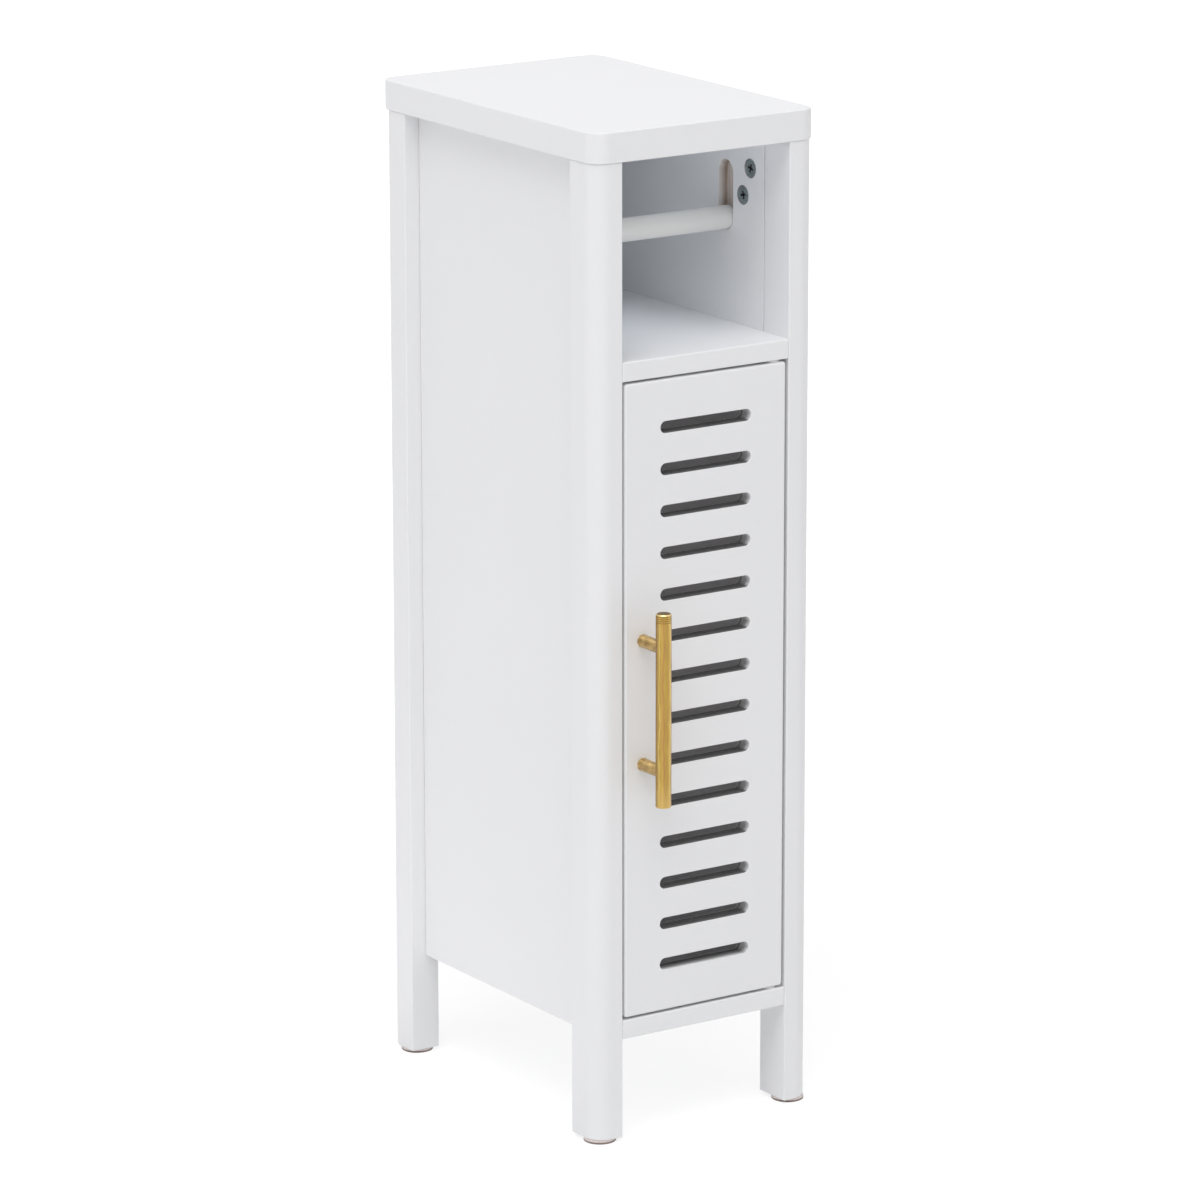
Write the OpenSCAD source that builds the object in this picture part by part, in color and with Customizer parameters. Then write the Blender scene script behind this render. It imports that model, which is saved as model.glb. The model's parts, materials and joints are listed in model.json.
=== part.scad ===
// Toilet roll storage cabinet: four posts, two recessed side panels, a thick top, an open bay
// with a lift-out roll bar, and a slotted door on pivot pins with a bar handle.
// Millimetres. +X is to the right and -Y is the front. The floor is z = 0.

/* [Cabinet] */
// Height from the floor to the top face
height = 780; // [700:5:900]
// Width over the posts
body_w = 200.5; // [180:0.5:260]
// Depth over the posts
body_d = 295; // [270:1:360]
// Clear height under the bottom board
leg_clear = 81.2; // [60:0.2:140]
// Height of the open roll bay
bay_h = 150.2; // [135:0.2:190]

/* [Top] */
// Thickness of the top
top_t = 23; // [18:0.5:30]
// Overhang of the top past the posts at the front and sides
top_overhang = 0.8; // [0:0.1:8]
// Overhang of the top past the posts at the back
top_overhang_back = 3.3; // [0:0.1:15]
// Radius of the outer corners of the top and posts
corner_r = 15; // [6:1:18]
// Round-over along the edges of the top
top_edge_r = 1.5; // [0.5:0.25:3]

/* [Posts] */
// Width of a post across the cabinet
post_w = 25; // [22:0.5:32]
// Depth of a post from front to back
post_d = 33; // [30:0.5:42]
// Eased corner along the other three edges of a post
post_edge_r = 1; // [0.5:0.25:2]

/* [Boards] */
// Thickness of the shelf and the bottom board
board_t = 15; // [12:0.5:19]
// Thickness of a side panel
side_t = 12; // [11:0.5:15]
// Thickness of the back panel
back_t = 3; // [2.5:0.25:5]
// Distance from the back of the posts to the back of the back panel
back_setback = 6; // [4:0.5:7]
// Depth of the grooves that hold the back panel
back_groove = 5; // [3:0.5:8]
// Eased edge along the front of the shelf and the bottom board
board_edge_r = 1.2; // [0.5:0.1:2.5]

/* [Door] */
// Thickness of the door
door_t = 15; // [13:0.5:18]
// Gap above and below the door
door_gap = 1.8; // [1.7:0.1:3]
// Gap at the handle side of the door
door_side_gap = 2.1; // [1:0.1:4]
// Rounded edges of the door
door_edge_r = 2; // [0.5:0.25:3]
// Length of a slot in the door
slot_len = 82; // [60:1:100]
// Height of a slot in the door
slot_h = 9.2; // [5:0.1:14]
// Distance from slot to slot
slot_pitch = 32.2; // [22:0.2:45]
// Least solid height above the first slot and below the last
slot_margin = 30; // [22:1:45]

/* [Pivots] */
// Distance from the hinge edge of the door to the pivot line
pivot_inset = 9; // [8:0.25:14]
// Spare room between the turning door edge and the post
swing_clear = 0.5; // [0.3:0.1:2]
// Diameter of the pivot pins
pin_d = 5; // [4:0.5:6]
// Depth of a pivot pin in the boards and in the door
pin_depth = 10; // [7:0.5:11]
// Outer diameter of a door bush
bush_d = 8; // [7:0.5:10]
// Outer diameter of a pivot washer
washer_d = 12; // [9:0.5:13]
// Thickness of a pivot washer
washer_t = 1.4; // [0.8:0.1:1.5]

/* [Handle] */
// Diameter of the handle bar
handle_d = 12; // [10:0.5:16]
// Distance between the two handle posts
handle_centres = 96; // [64:1:128]
// Length of the bar past each handle post
handle_overhang = 27; // [12:1:40]
// Diameter of a handle post
handle_post_d = 10; // [8:0.5:10]
// Distance from the door face to the axis of the bar
handle_reach = 27.5; // [22:0.5:40]
// Thread diameter of the handle screws
handle_screw_d = 4; // [3:0.5:5]

/* [Roll bar] */
// Diameter of the roll bar
bar_d = 18; // [14:0.5:22]
// Height of the resting bar axis above the shelf
bar_height = 80; // [60:1:90]
// Distance from the back of the front posts to the bar axis
bar_setback = 50.7; // [48:0.1:90]
// Upward travel of the bar in its grooves
bar_lift = 35; // [20:1:40]
// Depth of a groove in a side panel
bar_groove = 8; // [5:0.5:9]
// Radial room between the bar and its grooves
bar_clear = 0.4; // [0.3:0.1:1]

/* [Fittings] */
// Diameter of a cam lock
cam_d = 15; // [12:0.5:16]
// Height of a cam lock
cam_h = 9.5; // [8.5:0.25:10]
// Distance from a board edge to the centre of its cam lock
cam_edge = 28; // [24:0.5:32]
// Length of a cam bolt's thread
bolt_thread = 10.5; // [8:0.5:12]
// Diameter of the side panel and shelf dowels
dowel_d = 6; // [5:0.5:8]
// Diameter of the dowels between the posts and the top
top_dowel_d = 8; // [6:0.5:10]
// Length of a dowel
dowel_len = 30; // [25:1:32]

/* [Feet] */
// Diameter of a felt pad
pad_d = 25; // [18:0.5:25]
// Thickness of a felt pad
pad_t = 3; // [2:0.25:5]
// Distance that each pad sits in front of the middle of its post
pad_forward = 3.5; // [0:0.25:4]

/* [Hidden] */

$fn = 64;
// Cuts run past faces by this much
cut = 1;
// Room left round a piece that is pressed or screwed home
snug = 0.05;
// Room left at the end of a blind hole
blind = 0.5;
// Rest gap between pieces that move against each other
rest_gap = 0.3;
SIDES = [-1, 1];

// Flat, rim and cross recess of a screw head, as shares of its radius and height
head_flat = 0.75;
head_rim = 0.45;
recess_length = 1.1;
recess_width = 0.25;
recess_depth = 0.6;

// Plan and heights
half_w = body_w / 2;
half_d = body_d / 2;
handle_proud = handle_reach + handle_d / 2;
mid_y = (handle_proud - top_overhang_back) / 2;
front_y = mid_y - half_d;
inner_x = half_w - post_w;
panel_mid_x = inner_x + side_t / 2;
panel_end_y = half_d - post_d;
slab_z = height - top_t;
shelf_top = slab_z - bay_h;
shelf_z = shelf_top - board_t;
bottom_top = leg_clear + board_t;
back_y = mid_y + half_d - back_setback - back_t;
board_d = back_y - front_y;

// Door and pivots
door_h = shelf_z - bottom_top - 2 * door_gap;
door_z = bottom_top + door_gap;
door_mid_z = door_z + door_h / 2;
swing_r = norm([pivot_inset - door_edge_r, door_t / 2 - door_edge_r]) + door_edge_r;
hinge_gap = swing_r - pivot_inset + swing_clear;
door_left = -inner_x + door_side_gap;
door_right = inner_x - hinge_gap;
door_w = door_right - door_left;
door_mid_x = (door_left + door_right) / 2;
door_back = front_y + door_t;
pivot_x = door_right - pivot_inset;
pivot_y = front_y + door_t / 2;
pin_chamfer = 0.5;
slot_steps = floor((door_h - 2 * slot_margin) / slot_pitch);

// Handle on the middle of the door's closed stile
handle_x = (door_left + door_mid_x - slot_len / 2) / 2;
handle_y = front_y - handle_reach;
handle_len = handle_centres + 2 * handle_overhang;
handle_chamfer = 0.8;
spigot_d = 5;
spigot_len = 4;
handle_screw_in = 9;
handle_head_d = 8.5;
handle_head_h = 2.5;
handle_screw_tip = 0.6;

// Roll bar
bar_y = front_y + post_d + bar_setback;
bar_z = shelf_top + bar_height;
bar_end_play = 0.5;
bar_len = 2 * inner_x + bar_groove - 2 * bar_end_play;
bar_edge = 1;

// Cam locks and bolts
cam_from_top = cam_edge;
cam_from_front = 18.6;
post_cam_drop = 49.7;
post_dowel_drop = 82;
corner_cam_y = panel_end_y + 13;
corner_dowel_y = panel_end_y + 5;
cam_room = 0.2;
cross_len = 5;
cross_w = 1.4;
cross_depth = 1.6;
top_cam_turn = 24;
post_cam_turn = 8;
board_cam_turn = 15;
bolt_head_r = 3.3;
bolt_neck_r = 2.2;
bolt_body_r = 3.2;
bolt_thread_r = 3;
bolt_hole_r = 3.5;
bolt_head_h = 3;
bolt_neck_end = 8;
dowel_chamfer = 0.8;

// Magnetic catch on the closed side's post, just under the shelf
plate_t = 1;
catch_w = 18;
catch_d = 14;
catch_h = 46;
catch_drop = 8;
magnet_w = 6;
magnet_h = 22;
magnet_d = 8;
pole_proud = 1;
catch_screw_pitch = 34;
screw_d = 3;
screw_head_d = 6;
screw_head_h = 1.8;
screw_len = 14;
screw_point = 2.2;
screw_tip_r = 0.1;
strike_w = 26;
strike_h = 30;
strike_screw_in = 7;
catch_front = door_back + plate_t + rest_gap + pole_proud;
catch_z = shelf_z - catch_drop - catch_h / 2;
catch_mid_x = -inner_x + catch_w / 2;
strike_x = door_left + door_edge_r;

// Back panel screws
back_screw_len = 16;
back_screw_x = inner_x - cam_edge - cam_d / 2 - screw_head_d;
back_screw_xs = [-back_screw_x, 0, back_screw_x];
back_screw_zs = [leg_clear + board_t / 2, shelf_z + board_t / 2];

WHITE = [0.93, 0.93, 0.94];
GOLD = [0.78, 0.6, 0.27];
ZINC = [0.36, 0.4, 0.42];
STEEL = [0.7, 0.7, 0.72];
BIRCH = [0.8, 0.66, 0.46];
FELT = [0.42, 0.3, 0.25];
NYLON = [0.85, 0.85, 0.83];
MAGNET = [0.16, 0.16, 0.17];

// ---- helpers ----

// Puts a piece drawn for the right rear corner on any corner; y is measured from the middle
module at_corner(side, end) {
    translate([0, mid_y, 0])
        mirror([side < 0 ? 1 : 0, 0, 0])
            mirror([0, end < 0 ? 1 : 0, 0])
                children();
}

module at_all_corners() {
    for (side = SIDES)
        for (end = SIDES)
            at_corner(side, end)
                children();
}

// Block between two corners
module block(low, high) {
    translate(low)
        cube(high - low);
}

// Rectangle from the origin with its own radius at each corner, counted from the origin
// anticlockwise
module outline(w, h, radii) {
    polygon([
        [radii[0], 0], [w - radii[1], 0], [w, radii[1]], [w, h - radii[2]],
        [w - radii[2], h], [radii[3], h], [0, h - radii[3]], [0, radii[0]]
    ]);
    centres = [
        [radii[0], radii[0]], [w - radii[1], radii[1]],
        [w - radii[2], h - radii[2]], [radii[3], h - radii[3]]
    ];
    intersection() {
        square([w, h]);
        for (i = [0 : 3])
            if (radii[i] > 0)
                translate(centres[i])
                    circle(radii[i]);
    }
}

// Rectangle centred on the origin with round corners
module round_rect(size, r) {
    translate(-size / 2)
        outline(size.x, size.y, [r, r, r, r]);
}

// Block centred on the origin with every edge rounded
module eased_block(size, r) {
    intersection() {
        linear_extrude(size.z, center = true)
            round_rect([size.x, size.y], r);
        rotate([90, 0, 0])
            linear_extrude(size.y + cut, center = true)
                round_rect([size.x, size.z], r);
        rotate([90, 0, 90])
            linear_extrude(size.x + cut, center = true)
                round_rect([size.y, size.z], r);
    }
}

// Turned pin along +Z with chamfered ends
module turned_pin(r, h, chamfer) {
    rotate_extrude()
        polygon([[0, 0], [r - chamfer, 0], [r, chamfer], [r, h - chamfer], [r - chamfer, h], [0, h]]);
}

module ring(outer_r, inner_r, h) {
    difference() {
        cylinder(h, outer_r, outer_r);
        translate([0, 0, -cut])
            cylinder(h + 2 * cut, inner_r, inner_r);
    }
}

// Screw with its head at z = 0 facing -Z and its shank along +Z, ending in a tapered tip
module screw(shank_r, length, head_r, head_h, tip_len, tip_r) {
    difference() {
        rotate_extrude()
            polygon([
                [0, -head_h], [head_r * head_flat, -head_h], [head_r, -head_h * head_rim],
                [head_r, 0], [shank_r, 0], [shank_r, length - tip_len], [tip_r, length], [0, length]
            ]);
        cross_recess(head_r * recess_length, head_r * recess_width, head_h * recess_depth, -head_h);
    }
}

module wood_screw(length) {
    screw(screw_d / 2, length, screw_head_d / 2, screw_head_h, screw_point, screw_tip_r);
}

// Cross cut into a face at z, going towards +Z
module cross_recess(length, width, depth, z) {
    for (turn = [0, 90])
        rotate(turn)
            translate([-length / 2, -width / 2, z - cut])
                cube([length, width, depth + cut]);
}

// Cam lock: face at z = 0, body along +Z, bolt coming in from +X at bolt_z
module cam_lock(bolt_z, turn) {
    cam_r = cam_d / 2 - cam_room;
    difference() {
        cylinder(cam_h, cam_r, cam_r);
        rotate(turn)
            cross_recess(cross_len, cross_w, cross_depth, 0);
        translate([-bolt_head_r, -bolt_hole_r, bolt_z - bolt_hole_r])
            cube([cam_d, 2 * bolt_hole_r, cam_h]);
    }
}

// Bore for a cam lock and the bolt hole that runs into it from the board edge at +X
module cam_bores(bolt_z) {
    translate([0, 0, -cut])
        cylinder(cam_h + blind + cut, cam_d / 2, cam_d / 2);
    translate([-bolt_head_h, 0, bolt_z])
        rotate([0, 90, 0])
            cylinder(bolt_head_h + cam_edge + cut, bolt_hole_r, bolt_hole_r);
}

// Cam bolt along +X: its head in the cam at x = 0, its thread beyond the board edge
module cam_bolt(bolt_z) {
    translate([0, 0, bolt_z])
        rotate([0, 90, 0])
            rotate_extrude()
                polygon([
                    [0, -bolt_head_h / 2], [bolt_head_r, -bolt_head_h / 2],
                    [bolt_head_r, bolt_head_h / 2], [bolt_neck_r, bolt_head_h / 2],
                    [bolt_neck_r, bolt_neck_end], [bolt_body_r, bolt_neck_end],
                    [bolt_body_r, cam_edge - snug], [bolt_thread_r, cam_edge - snug],
                    [bolt_thread_r, cam_edge + bolt_thread], [0, cam_edge + bolt_thread]
                ]);
}

// Hole for a bolt's thread, from the face at z = 0 along +Z
module thread_hole() {
    translate([0, 0, -cut])
        cylinder(bolt_thread + blind + cut, bolt_thread_r + snug, bolt_thread_r + snug);
}

module dowel(d) {
    translate([0, 0, -dowel_len / 2])
        turned_pin(d / 2 - snug, dowel_len, dowel_chamfer);
}

// Hole for half a dowel, from the face at z = 0 along +Z
module dowel_hole(d) {
    translate([0, 0, -cut])
        cylinder(dowel_len / 2 + blind + cut, d / 2, d / 2);
}

// ---- places of the fittings, each drawn for the right rear corner ----

// Cam in the side panel that pulls down the top: face towards the inside, bolt up
module at_top_cam() {
    translate([inner_x, panel_end_y - cam_from_front, slab_z - cam_from_top])
        rotate([0, 90, 0])
            rotate([0, 0, 180])
                children();
}

// Cams in the side panel that pull in the post: face towards the inside, bolt along Y
module at_post_cams() {
    for (z = [slab_z - post_cam_drop, leg_clear + post_cam_drop])
        translate([inner_x, panel_end_y - cam_edge, z])
            rotate([0, 90, 0])
                rotate([0, 0, 90])
                    children();
}

// Cam in the underside of a board at height z that pulls in the post sideways
module at_board_cam(z) {
    translate([inner_x - cam_edge, corner_cam_y, z])
        children();
}

module at_post_dowels() {
    for (z = [slab_z - post_dowel_drop, leg_clear + post_dowel_drop])
        translate([panel_mid_x, panel_end_y, z])
            rotate([-90, 0, 0])
                children();
}

module at_board_dowel(z) {
    translate([inner_x, corner_dowel_y, z + board_t / 2])
        rotate([0, 90, 0])
            children();
}

module at_top_dowel() {
    translate([half_w - post_w / 2, half_d - post_d / 2, slab_z])
        children();
}

module at_back_screws() {
    for (x = back_screw_xs)
        for (z = back_screw_zs)
            translate([x, back_y + back_t, z])
                rotate([90, 0, 0])
                    children();
}

// ---- the top and the posts ----

// Slab with round corners and rounded edges: four turned corners and two crossing strips
module rounded_slab(w, d, h, r, edge) {
    module half_section(reach) {
        intersection() {
            translate([0, h / 2])
                round_rect([2 * reach, h], edge);
            square([reach, h]);
        }
    }
    for (x = SIDES)
        for (y = SIDES)
            translate([x * (w / 2 - r), y * (d / 2 - r), 0])
                rotate_extrude()
                    half_section(r);
    translate([0, d / 2 - r, h / 2])
        rotate([90, 0, 0])
            linear_extrude(d - 2 * r)
                round_rect([w, h], edge);
    translate([r - w / 2, 0, h / 2])
        rotate([90, 0, 90])
            linear_extrude(w - 2 * r)
                round_rect([d, h], edge);
}

module top_panel() {
    slab_d = body_d + top_overhang + top_overhang_back;
    color(WHITE)
        difference() {
            translate([0, front_y - top_overhang + slab_d / 2, slab_z])
                rounded_slab(body_w + 2 * top_overhang, slab_d, top_t, corner_r, top_edge_r);
            at_all_corners() {
                at_top_dowel()
                    dowel_hole(top_dowel_d);
                translate([panel_mid_x, panel_end_y - cam_from_front, slab_z])
                    thread_hole();
            }
        }
}

// Section of a post for the right rear corner: one large round outer corner, three eased ones
module post_section() {
    translate([inner_x, panel_end_y])
        outline(post_w, post_d, [post_edge_r, post_edge_r, corner_r, post_edge_r]);
}

module post_blank() {
    difference() {
        translate([0, 0, pad_t])
            linear_extrude(slab_z - pad_t)
                post_section();
        at_top_dowel()
            rotate([180, 0, 0])
                dowel_hole(top_dowel_d);
        at_post_dowels()
            dowel_hole(dowel_d);
        for (z = [slab_z - post_cam_drop, leg_clear + post_cam_drop])
            translate([panel_mid_x, panel_end_y, z])
                rotate([-90, 0, 0])
                    thread_hole();
        for (z = [leg_clear, shelf_z]) {
            at_board_dowel(z)
                dowel_hole(dowel_d);
            translate([inner_x, corner_cam_y, z + board_t / 2])
                rotate([0, 90, 0])
                    thread_hole();
        }
    }
}

module front_right_post() {
    color(WHITE)
        at_corner(1, -1)
            post_blank();
}

// The post beside the handle also takes the screws of the catch
module front_left_post() {
    color(WHITE)
        difference() {
            at_corner(-1, -1)
                post_blank();
            catch_screw_holes();
        }
}

module rear_post(side) {
    groove_y = back_y - mid_y - snug;
    color(WHITE)
        at_corner(side, 1)
            difference() {
                post_blank();
                block([inner_x - cut, groove_y, leg_clear],
                      [inner_x + back_groove, groove_y + back_t + 2 * snug, slab_z + cut]);
            }
}

// ---- boards ----

module side_panel(side) {
    color(WHITE)
        difference() {
            at_corner(side, 1)
                block([inner_x, -panel_end_y, leg_clear], [inner_x + side_t, panel_end_y, slab_z]);
            for (end = SIDES)
                at_corner(side, end) {
                    at_top_cam()
                        cam_bores(side_t / 2);
                    at_post_cams()
                        cam_bores(side_t / 2);
                    at_post_dowels()
                        rotate([180, 0, 0])
                            dowel_hole(dowel_d);
                }
            bar_groove_cut(side);
        }
}

// Upright blind groove with round ends that takes an end of the roll bar
module bar_groove_cut(side) {
    groove_r = bar_d / 2 + bar_clear;
    translate([side * inner_x, bar_y, bar_z])
        mirror([side < 0 ? 1 : 0, 0, 0])
            rotate([90, 0, 90])
                translate([0, 0, -cut])
                    linear_extrude(bar_groove + cut) {
                        for (y = [0, bar_lift])
                            translate([0, y])
                                circle(groove_r);
                        translate([-groove_r, 0])
                            square([2 * groove_r, bar_lift]);
                    }
}

// Board between the posts, with its front edges eased and its fittings underneath
module cross_board(z) {
    reach = inner_x - snug;
    difference() {
        translate([-reach, 0, z])
            rotate([90, 0, 90])
                linear_extrude(2 * reach)
                    translate([front_y, 0])
                        outline(board_d - snug, board_t, [board_edge_r, 0, 0, board_edge_r]);
        at_all_corners() {
            at_board_cam(z)
                cam_bores(board_t / 2);
            at_board_dowel(z)
                rotate([180, 0, 0])
                    dowel_hole(dowel_d);
        }
        at_back_screws()
            pilot_hole();
    }
}

module pilot_hole() {
    cylinder(back_screw_len + blind, screw_d / 2 + snug, screw_d / 2 + snug);
}

// Hole for a pivot pin, from the face at z = 0 along +Z
module pin_hole() {
    translate([pivot_x, pivot_y, -cut])
        cylinder(pin_depth + blind + cut, pin_d / 2 + snug, pin_d / 2 + snug);
}

module roll_shelf() {
    color(WHITE)
        difference() {
            cross_board(shelf_z);
            translate([0, 0, shelf_z])
                pin_hole();
        }
}

module bottom_board() {
    color(WHITE)
        difference() {
            cross_board(leg_clear);
            translate([0, 0, bottom_top])
                mirror([0, 0, 1])
                    pin_hole();
        }
}

module back_panel() {
    reach = inner_x + back_groove - snug;
    color(WHITE)
        difference() {
            block([-reach, back_y, leg_clear], [reach, back_y + back_t, slab_z - snug]);
            at_back_screws()
                translate([0, 0, -cut])
                    cylinder(back_t + 2 * cut, screw_d / 2 + snug, screw_d / 2 + snug);
        }
}

// ---- fittings ----

module top_cam_locks() {
    color(ZINC)
        at_all_corners()
            at_top_cam()
                cam_lock(side_t / 2, top_cam_turn);
}

module post_cam_locks() {
    color(ZINC)
        at_all_corners()
            at_post_cams()
                cam_lock(side_t / 2, post_cam_turn);
}

module board_cam_locks(z) {
    color(ZINC)
        at_all_corners()
            at_board_cam(z)
                cam_lock(board_t / 2, board_cam_turn);
}

module top_cam_bolts() {
    color(STEEL)
        at_all_corners()
            at_top_cam()
                cam_bolt(side_t / 2);
}

module post_cam_bolts() {
    color(STEEL)
        at_all_corners()
            at_post_cams()
                cam_bolt(side_t / 2);
}

module board_cam_bolts(z) {
    color(STEEL)
        at_all_corners()
            at_board_cam(z)
                cam_bolt(board_t / 2);
}

module top_dowels() {
    color(BIRCH)
        at_all_corners()
            at_top_dowel()
                dowel(top_dowel_d);
}

module post_dowels() {
    color(BIRCH)
        at_all_corners()
            at_post_dowels()
                dowel(dowel_d);
}

module board_dowels(z) {
    color(BIRCH)
        at_all_corners()
            at_board_dowel(z)
                dowel(dowel_d);
}

module back_panel_screws() {
    color(STEEL)
        at_back_screws()
            wood_screw(back_screw_len);
}

module foot_pad(side, end) {
    pad_y = mid_y + end * (half_d - post_d / 2) - pad_forward;
    color(FELT)
        translate([side * (half_w - post_w / 2), pad_y, 0])
            cylinder(pad_t, pad_d / 2, pad_d / 2);
}

// ---- pivots ----

// The pin stands in the board at board_face and reaches into the door, along +Z or -Z
module pivot_pin(board_face, up) {
    color(STEEL)
        translate([pivot_x, pivot_y, board_face])
            mirror([0, 0, up ? 0 : 1])
                translate([0, 0, -pin_depth])
                    turned_pin(pin_d / 2, 2 * pin_depth + door_gap, pin_chamfer);
}

module pivot_washer(z) {
    color(NYLON)
        translate([pivot_x, pivot_y, z])
            ring(washer_d / 2, pin_d / 2 + 2 * snug, washer_t);
}

module pivot_bush(z) {
    color(NYLON)
        translate([pivot_x, pivot_y, z])
            ring(bush_d / 2 - snug, pin_d / 2 + snug, pin_depth + blind);
}

// ---- magnetic catch ----

module catch_block(size_x, size_z, low_y, high_y) {
    block([catch_mid_x - size_x / 2, low_y, catch_z - size_z / 2],
          [catch_mid_x + size_x / 2, high_y, catch_z + size_z / 2]);
}

// Screws through the ears of the catch into the post, along -X
module at_catch_screws() {
    for (z = SIDES)
        translate([catch_mid_x - catch_w / 2 + plate_t * 2, catch_front + catch_d / 2,
                   catch_z + z * catch_screw_pitch / 2])
            rotate([0, -90, 0])
                children();
}

module catch_housing() {
    ear_z = (catch_screw_pitch - screw_head_d) / 2 - snug;
    color(NYLON)
        difference() {
            catch_block(catch_w, catch_h, catch_front, catch_front + catch_d);
            // Over each ear only a thin foot is left on the post
            for (z = SIDES)
                block([catch_mid_x - catch_w / 2 + 2 * plate_t, catch_front - cut,
                       catch_z + (z > 0 ? ear_z : -catch_h / 2 - cut)],
                      [catch_mid_x + catch_w / 2 + cut, catch_front + catch_d + cut,
                       catch_z + (z > 0 ? catch_h / 2 + cut : -ear_z)]);
            catch_block(magnet_w + 2 * plate_t + 2 * snug, magnet_h + 2 * snug,
                        catch_front - cut, catch_front + magnet_d + snug);
            at_catch_screws()
                translate([0, 0, -cut])
                    cylinder(catch_w, screw_d / 2 + snug, screw_d / 2 + snug);
        }
}

module catch_magnet() {
    color(MAGNET)
        catch_block(magnet_w, magnet_h, catch_front, catch_front + magnet_d);
}

module catch_pole_plates() {
    color(STEEL)
        for (x = SIDES)
            translate([x * (magnet_w + plate_t) / 2, 0, 0])
                catch_block(plate_t, magnet_h, catch_front - pole_proud, catch_front + magnet_d);
}

module catch_screws() {
    color(STEEL)
        at_catch_screws()
            wood_screw(screw_len);
}

module catch_screw_holes() {
    at_catch_screws()
        cylinder(screw_len + blind, screw_d / 2 + snug, screw_d / 2 + snug);
}

// ---- the door ----

module at_handle_ends() {
    for (z = SIDES)
        translate([handle_x, 0, door_mid_z + z * handle_centres / 2])
            children();
}

module slot_cut() {
    end_x = (slot_len - slot_h) / 2;
    translate([0, cut, 0])
        rotate([90, 0, 0])
            linear_extrude(door_t + 2 * cut) {
                square([2 * end_x, slot_h], center = true);
                for (x = SIDES)
                    translate([x * end_x, 0])
                        circle(slot_h / 2);
            }
}

module door_panel() {
    color(WHITE)
        difference() {
            translate([door_mid_x, pivot_y, door_mid_z])
                eased_block([door_w, door_t, door_h], door_edge_r);
            for (step = [0 : slot_steps])
                translate([door_mid_x, door_back, door_mid_z + (step - slot_steps / 2) * slot_pitch])
                    slot_cut();
            for (z = [door_z - cut, door_z + door_h - pin_depth - blind])
                translate([pivot_x, pivot_y, z])
                    cylinder(pin_depth + blind + cut, bush_d / 2, bush_d / 2);
            at_handle_ends()
                translate([0, door_back + cut, 0])
                    rotate([90, 0, 0])
                        cylinder(door_t + 2 * cut, handle_screw_d / 2 + snug, handle_screw_d / 2 + snug);
            at_strike_screw()
                cylinder(screw_len, screw_d / 2 + snug, screw_d / 2 + snug);
        }
}

module handle_bar() {
    color(GOLD)
        difference() {
            translate([handle_x, handle_y, door_mid_z - handle_len / 2])
                turned_pin(handle_d / 2, handle_len, handle_chamfer);
            at_handle_ends()
                translate([0, handle_y, 0])
                    rotate([-90, 0, 0])
                        cylinder(handle_d, spigot_d / 2 + snug, spigot_d / 2 + snug);
        }
}

// Round post from the door face to the bar, coped round the bar, with a spigot into it
module handle_post(end) {
    color(GOLD)
        translate([handle_x, handle_y, door_mid_z + end * handle_centres / 2])
            difference() {
                union() {
                    difference() {
                        rotate([-90, 0, 0])
                            cylinder(handle_reach, handle_post_d / 2, handle_post_d / 2);
                        cylinder(2 * handle_d, handle_d / 2 + snug, handle_d / 2 + snug, center = true);
                    }
                    translate([0, handle_d / 2 - spigot_len, 0])
                        rotate([-90, 0, 0])
                            cylinder(2 * spigot_len, spigot_d / 2, spigot_d / 2);
                }
                translate([0, handle_reach - handle_screw_in - blind, 0])
                    rotate([-90, 0, 0])
                        cylinder(handle_screw_in + blind + cut, handle_screw_d / 2 + snug,
                                 handle_screw_d / 2 + snug);
            }
}

module handle_screws() {
    color(STEEL)
        at_handle_ends()
            translate([0, door_back, 0])
                rotate([90, 0, 0])
                    screw(handle_screw_d / 2, door_t + handle_screw_in, handle_head_d / 2, handle_head_h,
                      handle_screw_tip, handle_screw_d / 2 - handle_screw_tip);
}

// The strike's screw goes into the back of the door, along -Y
module at_strike_screw() {
    translate([strike_x + strike_w - strike_screw_in, door_back + plate_t, catch_z])
        rotate([90, 0, 0])
            children();
}

module strike_plate() {
    color(STEEL)
        difference() {
            block([strike_x, door_back, catch_z - strike_h / 2],
                  [strike_x + strike_w, door_back + plate_t, catch_z + strike_h / 2]);
            at_strike_screw()
                translate([0, 0, -cut])
                    cylinder(screw_len, screw_d / 2 + snug, screw_d / 2 + snug);
        }
}

module strike_screw() {
    color(STEEL)
        at_strike_screw()
            wood_screw(screw_len - 2 * blind);
}

module roll_bar() {
    color(WHITE)
        translate([-bar_len / 2, bar_y, bar_z])
            rotate([0, 90, 0])
                turned_pin(bar_d / 2, bar_len, bar_edge);
}

top_panel();
front_left_post();
front_right_post();
rear_post(-1);  // rear_left_post
rear_post(1);  // rear_right_post
side_panel(-1);  // left_side_panel
side_panel(1);  // right_side_panel
roll_shelf();
bottom_board();
back_panel();
top_cam_locks();
post_cam_locks();
board_cam_locks(shelf_z);  // shelf_cam_locks
board_cam_locks(leg_clear);  // bottom_cam_locks
top_cam_bolts();
post_cam_bolts();
board_cam_bolts(shelf_z);  // shelf_cam_bolts
board_cam_bolts(leg_clear);  // bottom_cam_bolts
top_dowels();
post_dowels();
board_dowels(shelf_z);  // shelf_dowels
board_dowels(leg_clear);  // bottom_dowels
back_panel_screws();
foot_pad(-1, -1);  // front_left_pad
foot_pad(1, -1);  // front_right_pad
foot_pad(-1, 1);  // rear_left_pad
foot_pad(1, 1);  // rear_right_pad
pivot_pin(shelf_z, false);  // upper_pivot_pin
pivot_pin(bottom_top, true);  // lower_pivot_pin
pivot_washer(door_z + door_h);  // upper_pivot_washer
pivot_washer(bottom_top);  // lower_pivot_washer
catch_housing();
catch_magnet();
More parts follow.
